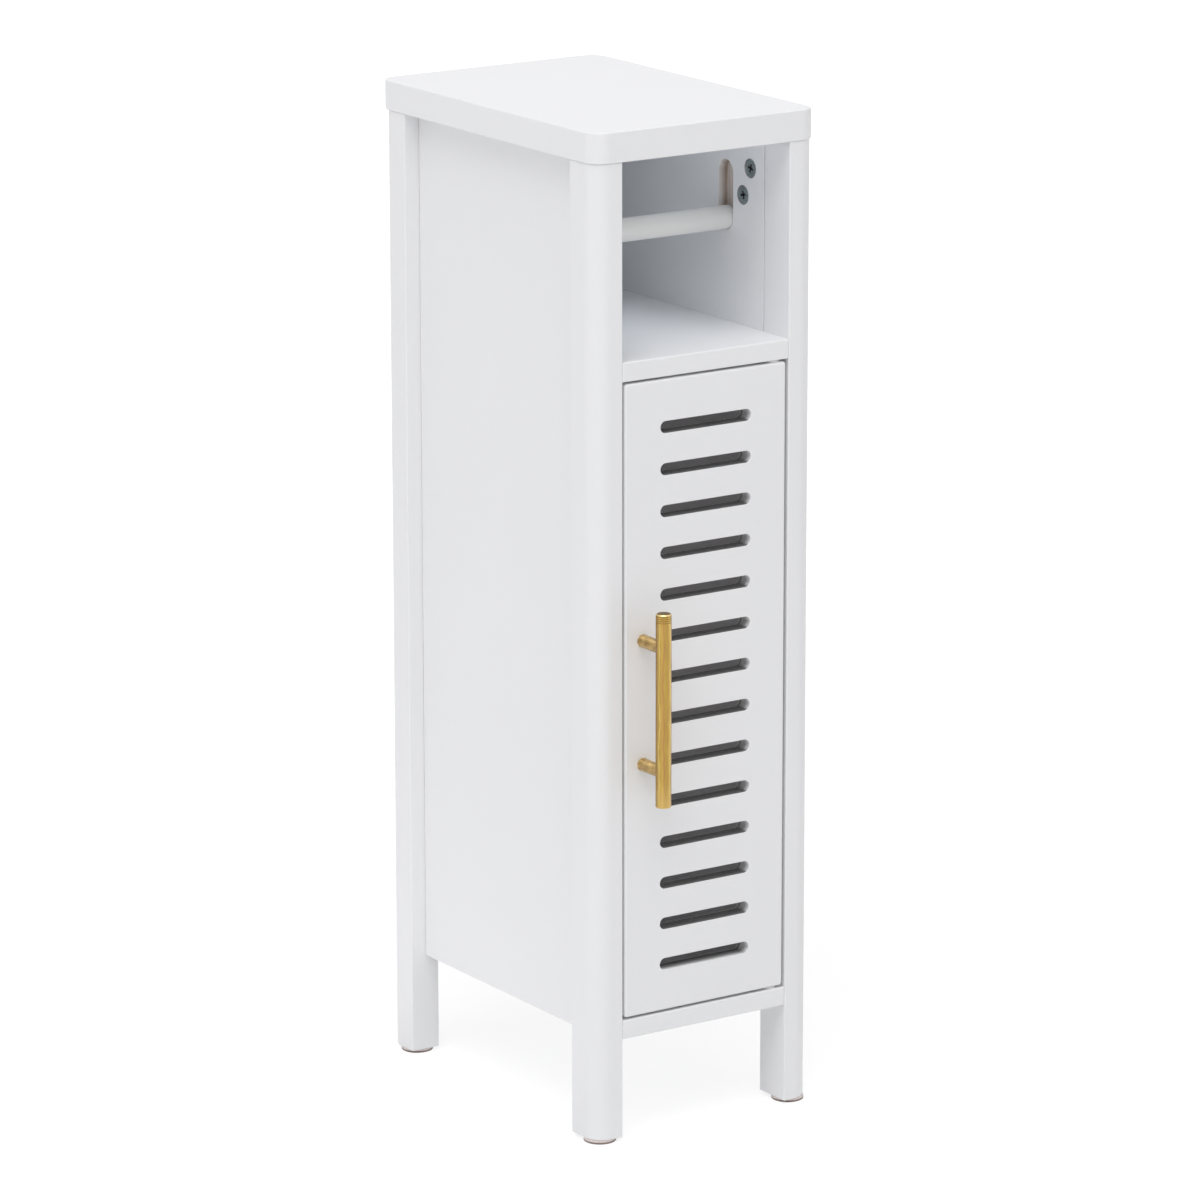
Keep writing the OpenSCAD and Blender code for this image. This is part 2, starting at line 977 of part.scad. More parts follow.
catch_pole_plates();
catch_screws();
door_panel();
pivot_bush(door_z + door_h - pin_depth - blind);  // upper_pivot_bush
pivot_bush(door_z);  // lower_pivot_bush
handle_bar();
handle_post(1);  // upper_handle_post
handle_post(-1);  // lower_handle_post
handle_screws();
strike_plate();
strike_screw();
roll_bar();
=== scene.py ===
"""Looks of a slim white storage cabinet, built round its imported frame. Lengths are in metres."""
import itertools
import json
import math

import bmesh
import bpy
from mathutils import Matrix, Vector

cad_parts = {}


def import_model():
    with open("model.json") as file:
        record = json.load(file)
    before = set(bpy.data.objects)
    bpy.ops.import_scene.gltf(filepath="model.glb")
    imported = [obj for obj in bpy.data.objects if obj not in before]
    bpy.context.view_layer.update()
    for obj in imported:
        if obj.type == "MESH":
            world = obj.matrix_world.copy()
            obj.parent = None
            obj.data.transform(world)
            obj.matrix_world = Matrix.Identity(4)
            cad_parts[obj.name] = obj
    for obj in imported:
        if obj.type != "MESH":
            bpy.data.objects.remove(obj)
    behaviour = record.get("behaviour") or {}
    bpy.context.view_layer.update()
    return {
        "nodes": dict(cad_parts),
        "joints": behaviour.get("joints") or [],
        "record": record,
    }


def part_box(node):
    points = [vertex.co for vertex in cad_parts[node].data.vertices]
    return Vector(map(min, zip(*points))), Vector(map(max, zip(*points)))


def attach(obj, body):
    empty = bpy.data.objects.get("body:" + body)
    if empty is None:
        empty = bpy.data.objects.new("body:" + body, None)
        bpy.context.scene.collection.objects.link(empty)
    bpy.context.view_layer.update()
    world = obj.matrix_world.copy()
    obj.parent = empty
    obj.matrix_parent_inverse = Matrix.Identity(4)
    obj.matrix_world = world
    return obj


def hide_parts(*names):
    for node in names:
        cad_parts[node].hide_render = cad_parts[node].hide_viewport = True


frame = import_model()

MM = 0.001
SIDES = (-1, 1)

# Mesh fineness
TINY = 0.02 * MM
CORNER_STEPS = 8
EASE_STEPS = 4
TURN_STEPS = 48
SMOOTH_LIMIT = math.radians(38)

# Places of the materials on a piece
BODY_INDEX, CUT_INDEX, FLOOR_INDEX, BORE_INDEX = range(4)
CHAMFER_INDEX = FLOOR_INDEX
RING_INDEX = BORE_INDEX

# Sockets of the node that mixes colours
MIX_SHARE, MIX_A, MIX_B, MIX_RESULT = 0, 6, 7, 2

# Edges and corners of the painted boards, and room round the panels. A post's corners are (side,
# row), in the order in which rectangle() takes its radii
SLAB_CORNER = 15 * MM
SLAB_EDGE = 0.8 * MM
POST_CORNER = 15 * MM
POST_CORNERS = [(-1, -1), (1, -1), (1, 1), (-1, 1)]
POST_EDGE = 1.0 * MM
POST_END_EDGE = 0.8 * MM
PANEL_EDGE = 0.35 * MM
BOARD_EDGE = 1.2 * MM
DOOR_CORNER = 2.3 * MM
DOOR_EDGE = 2.0 * MM
BACK_EDGE = 0.3 * MM
BACK_GROOVE_ROOM = 0.05 * MM
PANEL_FRONT_JOINT = 0.7 * MM
PANEL_REAR_JOINT = 0.35 * MM

# Slots in the door, and the depths from the front or from the back at which their paint changes
# to painted shade. The lowest slot's lower wall fades from paint to painted shade over a share of
# the depth. Straight walls give way to round ends between two shares of facing sideways
SLOT_COUNT = 14
SLOT_LENGTH = 82 * MM
SLOT_HEIGHT = 9.2 * MM
SLOT_PITCH = 32.2 * MM
SLOT_EDGE = 0.6 * MM
SLOT_END_PAINT = (4.0 * MM, 4.8 * MM)
SLOT_END_DEEP_SHADE = (11.2 * MM, 11.8 * MM)
SLOT_BACK_PAINT = (1.5 * MM, 2.0 * MM)
SLOT_LOWEST_SHADE_FADE = 0.8
SLOT_END_FACING = (0.35, 0.8)

# Tones of the slots' walls. The straight walls have one grey of painted shade at the front and one
# at the back; the round ends and the lowest slot have greys of painted shade deeper in
SLOT_PAINT = (0.871, 0.873, 0.889, 1)
SLOT_END_SHADE_GREY = (0.70, 0.70, 0.71, 1)
SLOT_SHADE_GREYS = (0.155, 0.42)
SLOT_FIBRE_GREY = 0.10
SLOT_FIBRE_SHARE = 0.3
SLOT_LOWEST_SHADE_GREY = 0.16

# Grooves for the roll bar. The cutter's streaks change the cover of paint by a share
GROOVE_R = 9.4 * MM
GROOVE_DEPTH = 8 * MM
GROOVE_EDGE = 0.4 * MM
GROOVE_STREAKS = 0.22

# Cam locks. The cross has a length, width and depth, and the arrow a distance from the centre,
# size and depth. Turns are in degrees
CAM_R = 7.3 * MM
CAM_BORE_R = 7.5 * MM
CAM_H = 9.5 * MM
CAM_BORE_DEPTH = 10 * MM
CAM_BEVEL = 0.3 * MM
CAM_RIM = 0.9 * MM
CAM_DISH = 0.25 * MM
CAM_CROSS = (6.8 * MM, 1.8 * MM, 3.0 * MM)
CAM_CROSS_TAPER = 0.45 * MM
CAM_ARROW = (5.0 * MM, 0.9 * MM, 0.4 * MM)
CAM_ARROW_TAPER = 0.1 * MM
CAM_ARROW_TURN = 45
TOP_CAM_TURN = -16
POST_CAM_TURN = 11
BOARD_CAM_TURN = 15

# Turned pieces
BAR_EDGE = 1.0 * MM
HANDLE_CHAMFER = 0.8 * MM
HANDLE_RINGS = 4
HANDLE_RING_START = 1.7 * MM
HANDLE_RING_PITCH = 1.55 * MM
HANDLE_RING_DEPTH = 0.14 * MM
HANDLE_RING_HALF = 0.36 * MM
LEAN_TOLERANCE = 0.02
COPE_RINGS = 4
PAD_EDGE = 0.5 * MM
WASHER_EDGE = 0.2 * MM

# Heights between which the painted contact shadow at a pad's foot gives way to its pale felt
PAD_SHADOW_BAND = (1.5 * MM, 1.8 * MM)

# Gold of the handle bar: its tones, the angles in degrees from +X of its bands of painted
# reflection and painted highlight, how far the bands wander in shares of a turn, and the height
# and share of the pale lower end
GOLD_TONES = {
    "painted_highlight": (0.76, 0.56, 0.16, 1),
    "plain": (0.51, 0.338, 0.062, 1),
    "green": (0.54, 0.344, 0.060, 1),
    "brown": (0.42, 0.225, 0.060, 1),
    "pale": (0.68, 0.47, 0.16, 1),
}
GOLD_PAINTED_REFLECTIONS = [
    (-180, "plain"), (-168, "plain"), (-157, "painted_highlight"), (-146, "plain"), (-132, "plain"),
    (-122, "brown"), (-111, "plain"), (-97, "green"), (-72, "painted_highlight"), (-50, "brown"),
    (-20, "plain"), (5, "painted_highlight"), (35, "brown"), (70, "green"), (100, "plain"), (130, "painted_highlight"),
    (155, "brown"), (180, "plain"),
]
GOLD_WANDER = 0.03
GOLD_PALE_END = 22 * MM
GOLD_PALE_SHARE = 0.6

# Blotches of worn lacquer, as shares of the bar's and of the posts' tone
BAR_BLOTCHES = 0.45
POST_BLOTCHES = 0.6

# Screws: shares of the head's radius or height, share of the shank's radius at its tip, and angles
# in degrees of the points round the head
HEAD_FLAT = 0.75
HEAD_RIM = 0.45
HEAD_ANGLES = (30, 60, 90)
RECESS_LENGTH = 1.1
RECESS_WIDTH = 0.5
RECESS_TAPER = RECESS_WIDTH / 6
RECESS_DEPTH = 0.6
SCREW_TIP = 0.4

# Sizes of the screws, and how far their heads are turned in degrees: the back panel's by a step
# from one to the next
SCREW_HEAD_R = 3.0 * MM
SCREW_HEAD_H = 1.8 * MM
SCREW_R = 1.75 * MM
HANDLE_SCREW_R = 2.0 * MM
HANDLE_SCREW_HEAD_H = 2.5 * MM
BACK_SCREW_TURN = 25
HANDLE_SCREW_TURNS = (15, 55)

# Tones of the finishes and of painted shade and highlight, in linear colour: where a finish's
# noise is low, and where it is high
TONES = {
    "white_paint": ((0.876, 0.878, 0.894, 1), (0.866, 0.868, 0.884, 1)),
    "bar_paint": ((0.85, 0.846, 0.835, 1), (0.83, 0.826, 0.812, 1)),
    "raw_board": ((0.33, 0.24, 0.16, 1), (0.50, 0.39, 0.28, 1)),
    "groove_board": ((0.36, 0.255, 0.19, 1), (0.46, 0.35, 0.275, 1)),
    "gold_post": ((0.37, 0.235, 0.075, 1), (0.70, 0.50, 0.20, 1)),
    "gold_end": ((0.20, 0.135, 0.065, 1), (0.32, 0.22, 0.10, 1)),
    "gold_chamfer_highlight": ((0.88, 0.70, 0.36, 1), (0.80, 0.60, 0.27, 1)),
    "gold_ring": ((0.28, 0.165, 0.04, 1), (0.36, 0.215, 0.06, 1)),
    "zinc": ((0.20, 0.245, 0.26, 1), (0.40, 0.45, 0.46, 1)),
    "recess": ((0.012, 0.012, 0.012, 1), (0.03, 0.03, 0.03, 1)),
    "steel": ((0.52, 0.53, 0.55, 1), (0.66, 0.66, 0.66, 1)),
    "birch": ((0.52, 0.35, 0.19, 1), (0.68, 0.50, 0.31, 1)),
    "felt_contact_shadow": ((0.15, 0.115, 0.10, 1), (0.33, 0.26, 0.23, 1)),
    "felt_top": ((0.66, 0.57, 0.55, 1), (0.82, 0.74, 0.72, 1)),
    "nylon": ((0.80, 0.80, 0.78, 1), (0.84, 0.84, 0.83, 1)),
    "magnet": ((0.045, 0.045, 0.05, 1), (0.09, 0.09, 0.095, 1)),
}
GROOVE_SPRAY = (0.86, 0.835, 0.82, 1)
PAINT_GLOSS_DRIFT = 0.04

# Camera, found from corners measured in the photograph
CAMERA_PLACE = Vector((-2558.99, -3821.79, 1577.24)) * MM
CAMERA_YAW = math.radians(33.73)
CAMERA_PITCH = math.radians(-14.51)
CAMERA_ROLL = math.radians(-0.07)
FOCAL_LENGTH_PIXELS = 6163.97
PHOTO_PIXELS = 1200
SENSOR = 36.0

# World and floor. The floor's glow rises to white between two distances from the object
AMBIENT = 0.56
FLOOR_ALBEDO = 0.92
FLOOR_SHADOW_SHARE = 0.30
FLOOR_GLOW = 0.78
FLOOR_RISE = (0.5, 1.6)
FLOOR_SIZE = 60.0

# Studio lamps: name, azimuth from the front and elevation in degrees, distance and size in
# metres, and watts
LAMP_TARGET = Vector((0, 0, 0.45))
LAMPS = [
    ("left_lamp", -55.6, 52, 7.48, 4.8, 97),
    ("high_lamp", -40, 66, 7.4, 4.8, 182),
]

# Faint lamps for light that white walls and floor throw about: two sides in metres, watts, colour
# and spread. The gaps are to the surface beside them
FAINT_LAMP_GAP = 4 * MM
STORAGE_LAMP_GAP = 0.5 * MM
BAY_LAMP = (140 * MM, 190 * MM, 0.0178, (0.83, 0.93, 1.0), math.radians(180))
BAY_LAMP_PLACE = (10 * MM, -35 * MM)
SHELF_LAMP = (120 * MM, 130 * MM, 0.0155, (0.86, 0.94, 1.0), math.radians(115))
SHELF_LAMP_PLACE = (-15 * MM, -25 * MM)
STORAGE_LAMP = (200 * MM, 420 * MM, 0.025, (1.0, 0.96, 0.93), math.radians(180))
FLOOR_LAMP = (400 * MM, 400 * MM, 0.13, (1.0, 1.0, 1.0), math.radians(180))
FLOOR_LAMP_PLACE = (-350 * MM, 100 * MM)

record = frame["record"]
SLOT_OF = {part["node"]: part["material_slot"] for part in record["subparts"]}
BODY_OF = {node: body for body, nodes in record["behaviour"]["bodies"].items() for node in nodes}
BAR_LIFT = next(j for j in frame["joints"] if j["name"] == "roll_bar_lift")["range_m"][1]


# ---- outlines: functions that give the points of a closed line, drawn in by an inset ----

def arc(centre, r, start, end, steps):
    """Points of an arc between two angles in degrees, both ends included."""
    angles = [math.radians(start + (end - start) * i / steps) for i in range(steps + 1)]
    return [(centre[0] + r * math.cos(a), centre[1] + r * math.sin(a)) for a in angles]


def rectangle(low, high, radii, ease=(1, 1, 1, 1)):
    """Rectangle with round corners. radii start at the lower left corner, and ease at the left
    side: it says how far each side moves in with the inset. Both go round anticlockwise."""
    left, lower, right, upper = ease
    corners = [
        (low[0], low[1], 1, 1, left, lower, 180),
        (high[0], low[1], -1, 1, right, lower, 270),
        (high[0], high[1], -1, -1, right, upper, 0),
        (low[0], high[1], 1, -1, left, upper, 90),
    ]

    def outline(inset):
        points = []
        for (u, v, in_u, in_v, ease_u, ease_v, start), r in zip(corners, radii):
            bend = max(r - inset, TINY)
            centre = (u + in_u * (inset * ease_u + bend), v + in_v * (inset * ease_v + bend))
            points += arc(centre, bend, start, start + 90, CORNER_STEPS)
        return points

    return outline


def stadium(centre, length, height, upright=False):
    """Slot with round ends, which lies along u or stands along v."""
    reach = (length - height) / 2

    def outline(inset):
        r = height / 2 - inset
        points = arc((reach, 0), r, -90, 90, 2 * CORNER_STEPS)
        points += arc((-reach, 0), r, 90, 270, 2 * CORNER_STEPS)
        if upright:
            points = [(-v, u) for u, v in points]
        return [(centre[0] + u, centre[1] + v) for u, v in points]

    return outline


def circle(centre, r):
    """Circle of TURN_STEPS points."""

    def outline(inset):
        return arc(centre, r - inset, 0, 360 * (1 - 1 / TURN_STEPS), TURN_STEPS - 1)

    return outline


def cross(length, width, turn):
    """Cross with square arms, turned by an angle in degrees."""

    def outline(inset):
        long, short = length / 2 - inset, width / 2 - inset
        points = []
        for quarter in range(4):
            a = math.radians(turn + 90 * quarter)
            for u, v in ((long, -short), (long, short), (short, short)):
                points.append((u * math.cos(a) - v * math.sin(a), u * math.sin(a) + v * math.cos(a)))
        return points

    return outline


def triangle(reach, size, turn):
    """Small triangle that points outwards at a distance from the centre."""

    def outline(inset):
        r = size - inset
        a = math.radians(turn)
        middle = (reach * math.cos(a), reach * math.sin(a))
        return arc(middle, r, turn, turn + 240, 2)

    return outline


# ---- meshes: walls along a depth, closed by flat faces ----

def axes(origin, u, v, w):
    """Function that places (u, v, depth) in the frame."""
    origin, u, v, w = Vector(origin), Vector(u), Vector(v), Vector(w)
    return lambda a, b, c: origin + a * u + b * v + c * w


def add_ring(bm, place, points, depth):
    return [bm.verts.new(place(u, v, depth)) for u, v in points]


def bridge(bm, a, b, index):
    """Faces between two rings. A ring of one vertex is a tip."""
    count = max(len(a), len(b))
    for i in range(count):
        j = (i + 1) % count
        corners = [a[i % len(a)], a[j % len(a)], b[j % len(b)], b[i % len(b)]]
        face = bm.faces.new(list(dict.fromkeys(corners)))
        face.material_index = index


def wall(bm, place, outline, stops, index=BODY_INDEX):
    """Rings of an outline at (inset, depth) stops, joined up. index is one material, or one for
    each band between two rings. Returns the first and last ring."""
    rings = [add_ring(bm, place, outline(inset), depth) for inset, depth in stops]
    indices = index if isinstance(index, list) else [index] * len(rings)
    for a, b, band_index in zip(rings, rings[1:], indices):
        bridge(bm, a, b, band_index)
    return rings[0], rings[-1]


def fill(bm, rings, index=BODY_INDEX):
    """Flat face inside the first ring and outside the others."""
    edges = []
    for ring in rings:
        for a, b in zip(ring, ring[1:] + ring[:1]):
            edges.append(bm.edges.get((a, b)) or bm.edges.new((a, b)))
    made = bmesh.ops.triangle_fill(bm, use_beauty=True, use_dissolve=False, edges=edges)
    for item in made["geom"]:
        if isinstance(item, bmesh.types.BMFace):
            item.material_index = index


def front_stops(r):
    """Stops round an edge of radius r, from the front face to the wall."""
    turns = [math.pi / 2 * i / EASE_STEPS for i in range(EASE_STEPS + 1)]
    return [(r * (1 - math.sin(a)), r * (1 - math.cos(a))) for a in turns]


def back_stops(r, depth):
    """Stops round an edge of radius r, from the wall to the back face."""
    return [(inset, depth - down) for inset, down in reversed(front_stops(r))]


def outwards(stops):
    return [(-inset, depth) for inset, depth in stops]


def plate(bm, place, outline, depth, edge, slots=(), pockets=(), back_pockets=()):
    """Board with its front face at depth 0. A slot is (outline, edge, index of its wall). A
    pocket is (outline, edge, depth, index of its wall, index of its floor)."""
    rim_stops = front_stops(edge) + back_stops(edge, depth)
    front, back = ([ring] for ring in wall(bm, place, outline, rim_stops))
    for shape, slot_edge, wall_index in slots:
        near_stops, far_stops = front_stops(slot_edge), back_stops(slot_edge, depth)
        indices = [BODY_INDEX] * EASE_STEPS + [wall_index] + [BODY_INDEX] * EASE_STEPS
        near, far = wall(bm, place, shape, outwards(near_stops + far_stops), indices)
        front.append(near)
        back.append(far)
    for shape, pocket_edge, pocket_depth, wall_index, floor_index in pockets:
        stops = outwards(front_stops(pocket_edge)) + [(0, pocket_depth)]
        near, floor = wall(bm, place, shape, stops, wall_index)
        front.append(near)
        fill(bm, [floor], floor_index)
    for shape, pocket_edge, pocket_depth, wall_index, floor_index in back_pockets:
        stops = outwards(back_stops(pocket_edge, depth))
        floor, far = wall(bm, place, shape, [(0, depth - pocket_depth)] + stops, wall_index)
        back.append(far)
        fill(bm, [floor], floor_index)
    fill(bm, front)
    fill(bm, back)


def side_pocket(bm, place, outline, depth, index):
    """Pocket in the flat wall face that lies at depth 0 of a place."""
    origin, inwards = place(0, 0, 0), (place(0, 0, 1) - place(0, 0, 0)).normalized()
    flat = [f for f in bm.faces if all(abs((v.co - origin).dot(inwards)) < TINY for v in f.verts)]
    face = max(flat, key=lambda f: f.calc_area())
    rim = list(face.verts)
    bm.faces.remove(face)
    near, floor = wall(bm, place, outline, [(0, 0), (0, depth)], index)
    fill(bm, [rim, near])
    fill(bm, [floor], index)


def turned(bm, place, profile, end_index=BODY_INDEX):
    """Solid of (radius, depth) points, turned about the depth axis. Faces that meet the axis
    take end_index. Returns its last ring."""
    rings = []
    for r, depth in profile:
        points = circle((0, 0), r)(0) if r > 0 else [(0, 0)]
        rings.append(add_ring(bm, place, points, depth))
    for a, b in zip(rings, rings[1:]):
        bridge(bm, a, b, end_index if min(len(a), len(b)) == 1 else BODY_INDEX)
    return rings[-1]


def sunk_face(bm, place, edge_ring, depth, marks):
    """Flat face inside a ring, with marks of (outline, depth, taper, index) cut into it."""
    rings = [edge_ring]
    for shape, mark_depth, taper, index in marks:
        near, floor = wall(bm, place, shape, [(0, depth), (taper, depth + mark_depth)], index)
        rings.append(near)
        fill(bm, [floor], index)
    fill(bm, rings)


def finish_piece(node, bm, *materials):
    """Makes the mesh an object that stands for its CAD node and rides on that node's body."""
    bmesh.ops.recalc_face_normals(bm, faces=bm.faces)
    for face in bm.faces:
        face.smooth = True
    for edge in bm.edges:
        edge.smooth = edge.calc_face_angle(math.pi) < SMOOTH_LIMIT
    mesh = bpy.data.meshes.new(node + "_look")
    bm.to_mesh(mesh)
    bm.free()
    for material in materials:
        mesh.materials.append(material)
    obj = bpy.data.objects.new(node + "_look", mesh)
    bpy.context.scene.collection.objects.link(obj)
    shading = obj.modifiers.new("even_faces", "WEIGHTED_NORMAL")
    shading.keep_sharp = True
    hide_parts(node)
    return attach(obj, BODY_OF[node])


# ---- materials ----

class Recipe:
    """Node tree of one material, with short ways to add what the finishes share."""

    def __init__(self, name):
        self.material = bpy.data.materials.new(name)
        self.material.use_nodes = True
        self.nodes = self.material.node_tree.nodes
        self.links = self.material.node_tree.links
        self.shader = self.nodes["Principled BSDF"]
        self.place = self.nodes.new("ShaderNodeTexCoord").outputs["Object"]

    def node(self, kind, **sockets):
        made = self.nodes.new(kind)
        for name, value in sockets.items():
            self.feed(made.inputs[name.replace("_", " ")], value)
        return made

    def feed(self, socket, value):
        if isinstance(value, bpy.types.NodeSocket):
            self.links.new(value, socket)
        else:
            socket.default_value = value

    def set(self, **sockets):
        for name, value in sockets.items():
            self.feed(self.shader.inputs[name.replace("_", " ")], value)

    def noise(self, scale, detail=2.0, stretch=(1, 1, 1)):
        """Noise of scale grains to the metre, drawn out along an axis whose stretch is under 1."""
        place = self.node("ShaderNodeMapping", Vector=self.place, Scale=stretch)
        stretched = place.outputs["Vector"]
        made = self.node("ShaderNodeTexNoise", Vector=stretched, Scale=scale, Detail=detail)
        return made.outputs["Fac"]

    def cells(self, scale):
        """Distance from the middle of the nearest cell, with scale cells to the metre."""
        made = self.node("ShaderNodeTexVoronoi", Vector=self.place, Scale=scale)
        return made.outputs["Distance"]

    def axis(self, name):
        return self.node("ShaderNodeSeparateXYZ", Vector=self.place).outputs[name]

    def facing(self, name):
        """How far a surface faces along an axis of its piece, either way."""
        normal = self.nodes.new("ShaderNodeTexCoord").outputs["Normal"]
        part = self.node("ShaderNodeSeparateXYZ", Vector=normal).outputs[name]
        return self.math("ABSOLUTE", part)

    def spread(self, value, low, high, start=0.3, end=0.7):
        """value from start to end becomes low to high."""
        made = self.nodes.new("ShaderNodeMapRange")
        for name, number in zip(("From Min", "From Max", "To Min", "To Max"), (start, end, low, high)):
            made.inputs[name].default_value = number
        self.links.new(value, made.inputs["Value"])
        return made.outputs["Result"]

    def math(self, operation, *values):
        made = self.nodes.new("ShaderNodeMath")
        made.operation = operation
        for socket, value in zip(made.inputs, values):
            self.feed(socket, value)
        return made.outputs["Value"]

    def ramp(self, value, stops):
        """Smooth run of colours at (share, colour) stops."""
        made = self.node("ShaderNodeValToRGB", Fac=value)
        made.color_ramp.interpolation = "EASE"
        points = made.color_ramp.elements
        while len(points) < len(stops):
            points.new(0.5)
        for point, (share, colour) in zip(points, stops):
            point.position = share
            point.color = colour
        return made.outputs["Color"]

    def mix(self, share, a, b):
        """Colour a where share is 0, colour b where it is 1."""
        made = self.nodes.new("ShaderNodeMix")
        made.data_type = "RGBA"
        self.feed(made.inputs[MIX_SHARE], share)
        self.feed(made.inputs[MIX_A], a)
        self.feed(made.inputs[MIX_B], b)
        return made.outputs[MIX_RESULT]

    def tones(self, name, share):
        """Colour between the two tones of a finish."""
        return self.mix(share, *TONES[name])

    def bump(self, height, depth, under=None):
        """Relief of a depth, over the relief under it."""
        made = self.node("ShaderNodeBump", Height=height, Distance=depth)
        if under is not None:
            self.links.new(under, made.inputs["Normal"])
        self.links.new(made.outputs["Normal"], self.shader.inputs["Normal"])
        return made.outputs["Normal"]


def grey(level):
    return (level, level, level, 1)


def paint(name, rough):
    """Satin paint: orange peel, faint drift in tone and gloss."""
    m = Recipe(name)
    peel = m.noise(scale=520, detail=3)
    drift = m.noise(scale=7, detail=2)
    m.set(Base_Color=m.tones(name, m.spread(drift, 0, 1)))
    m.set(Roughness=m.spread(peel, rough - PAINT_GLOSS_DRIFT, rough + PAINT_GLOSS_DRIFT))
    waves = m.bump(m.noise(scale=60, detail=1), depth=0.05 * MM)
    m.bump(peel, depth=0.012 * MM, under=waves)
    return m.material


def raw_board():
    """Raw fibreboard in the bores."""
    m = Recipe("raw_board")
    fibre = m.noise(scale=900, detail=4, stretch=(1, 1, 0.35))
    m.set(Base_Color=m.tones("raw_board", m.spread(fibre, 0, 1)))
    m.set(Roughness=0.85)
    m.bump(fibre, depth=0.08 * MM)
    return m.material


def slot_cut():
    """Walls of the door's slots, given painted shade: the straight walls are dark grey from the edge
    on, a little lighter towards the back. Paint covers the round ends for a few millimetres, steps to
    greys of painted shade behind that, and reaches round the back edge. On the lower wall of the
    lowest slot, paint fades to a grey of painted shade towards the back."""
    m = Recipe("slot_cut")
    fibre = m.noise(scale=800, detail=4, stretch=(0.4, 1, 1))
    low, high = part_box("door_panel")
    depth = high.y - low.y
    behind_front = m.math("SUBTRACT", m.axis("Y"), low.y)
    before_back = m.math("SUBTRACT", high.y, m.axis("Y"))
    # Straight walls: greys of painted shade, darker at the front, with dark fibres
    painted_shade = m.mix(m.spread(behind_front, 0, 1, 0, depth), *map(grey, SLOT_SHADE_GREYS))
    painted_shade = m.mix(m.spread(fibre, 0, SLOT_FIBRE_SHARE), painted_shade, grey(SLOT_FIBRE_GREY))
    # Lower wall of the lowest slot: paint that fades to a grey of painted shade towards the back
    lowest = (low.z + high.z) / 2 - (SLOT_COUNT - 1) / 2 * SLOT_PITCH
    in_lowest = m.spread(m.axis("Z"), 1, 0, lowest - SLOT_EDGE, lowest)
    fade = m.spread(behind_front, 0, 1, 0, SLOT_LOWEST_SHADE_FADE * depth)
    painted_shade = m.mix(in_lowest, painted_shade, m.mix(fade, SLOT_PAINT, grey(SLOT_LOWEST_SHADE_GREY)))
    # Round ends: white paint, then greys of painted shade deeper in
    ends = m.mix(m.spread(behind_front, 0, 1, *SLOT_END_PAINT), SLOT_PAINT, SLOT_END_SHADE_GREY)
    ends = m.mix(m.spread(behind_front, 0, 1, *SLOT_END_DEEP_SHADE), ends, painted_shade)
    walls = m.mix(m.spread(m.facing("X"), 0, 1, *SLOT_END_FACING), painted_shade, ends)
    m.set(Base_Color=m.mix(m.spread(before_back, 0, 1, *SLOT_BACK_PAINT), SLOT_PAINT, walls))
    m.set(Roughness=0.9)
    m.bump(fibre, depth=0.06 * MM)
    return m.material


def groove_finish(name, thin_spray):
    """Cutter streaks in the fibreboard under a thin spray of paint. The spray is full at the
    groove's lip, and falls to the share thin_spray at its floor."""
    m = Recipe(name)
    streaks = m.noise(scale=560, detail=3, stretch=(1, 1, 0.05))
    fibre = m.noise(scale=900, detail=3)
    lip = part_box("right_side_panel")[0].x
    depth = m.math("SUBTRACT", m.math("ABSOLUTE", m.axis("X")), lip)
    spray = m.spread(depth, 1, thin_spray, 0, GROOVE_DEPTH)
    spray = m.math("ADD", spray, m.spread(streaks, -GROOVE_STREAKS, GROOVE_STREAKS))
    spray = m.math("MINIMUM", m.math("MAXIMUM", spray, 0), 1)
    board = m.tones("groove_board", m.spread(fibre, 0, 1))
    m.set(Base_Color=m.mix(spray, board, GROOVE_SPRAY))
    m.set(Roughness=0.8)
    m.bump(fibre, depth=0.05 * MM, under=m.bump(streaks, depth=0.12 * MM))
    return m.material


def gold_shader(m, axis, colour):
    """Turned gold under a thin lacquer. Fine rings round the axis smear reflections along it."""
    rings = m.noise(scale=260, detail=3, stretch={"Y": (1, 26, 1), "Z": (1, 1, 26)}[axis])
    m.set(Base_Color=colour, Metallic=1.0, Roughness=0.45)
    m.set(Anisotropic=0.9, Anisotropic_Rotation=0.25)
    m.set(Coat_Weight=0.6, Coat_Roughness=0.22)
    tangent = m.nodes.new("ShaderNodeTangent")
    tangent.direction_type = "RADIAL"
    tangent.axis = axis
    m.set(Tangent=tangent.outputs["Tangent"])
    m.bump(rings, depth=0.01 * MM)


def gold_bar():
    """Gold of the handle bar: long bands of painted reflection and painted highlight run along the
    bar, at listed angles round it, and wander a little; it is paler at the lower end."""
    m = Recipe("gold_bar")
    low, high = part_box("handle_bar")
    middle = (low + high) / 2
    across = m.math("SUBTRACT", m.axis("X"), middle.x)
    along = m.math("SUBTRACT", m.axis("Y"), middle.y)
    angle = m.math("ARCTAN2", along, across)
    wander = m.spread(m.noise(scale=160, detail=2, stretch=(1, 1, 0.25)), -GOLD_WANDER, GOLD_WANDER)
    share = m.math("ADD", m.spread(angle, 0, 1, -math.pi, math.pi), wander)
    # Bands of painted reflection round the bar; the brightest tone is a painted highlight
    stops = [((degrees + 180) / 360, GOLD_TONES[tone]) for degrees, tone in GOLD_PAINTED_REFLECTIONS]
    streaks = m.ramp(share, stops)
    blotches = m.noise(scale=240, detail=3, stretch=(1, 1, 0.3))
    colour = m.mix(m.spread(blotches, 0, BAR_BLOTCHES), streaks, GOLD_TONES["brown"])
    pale_end = m.spread(m.axis("Z"), GOLD_PALE_SHARE, 0, low.z, low.z + GOLD_PALE_END)
    gold_shader(m, "Z", m.mix(pale_end, colour, GOLD_TONES["pale"]))
    return m.material


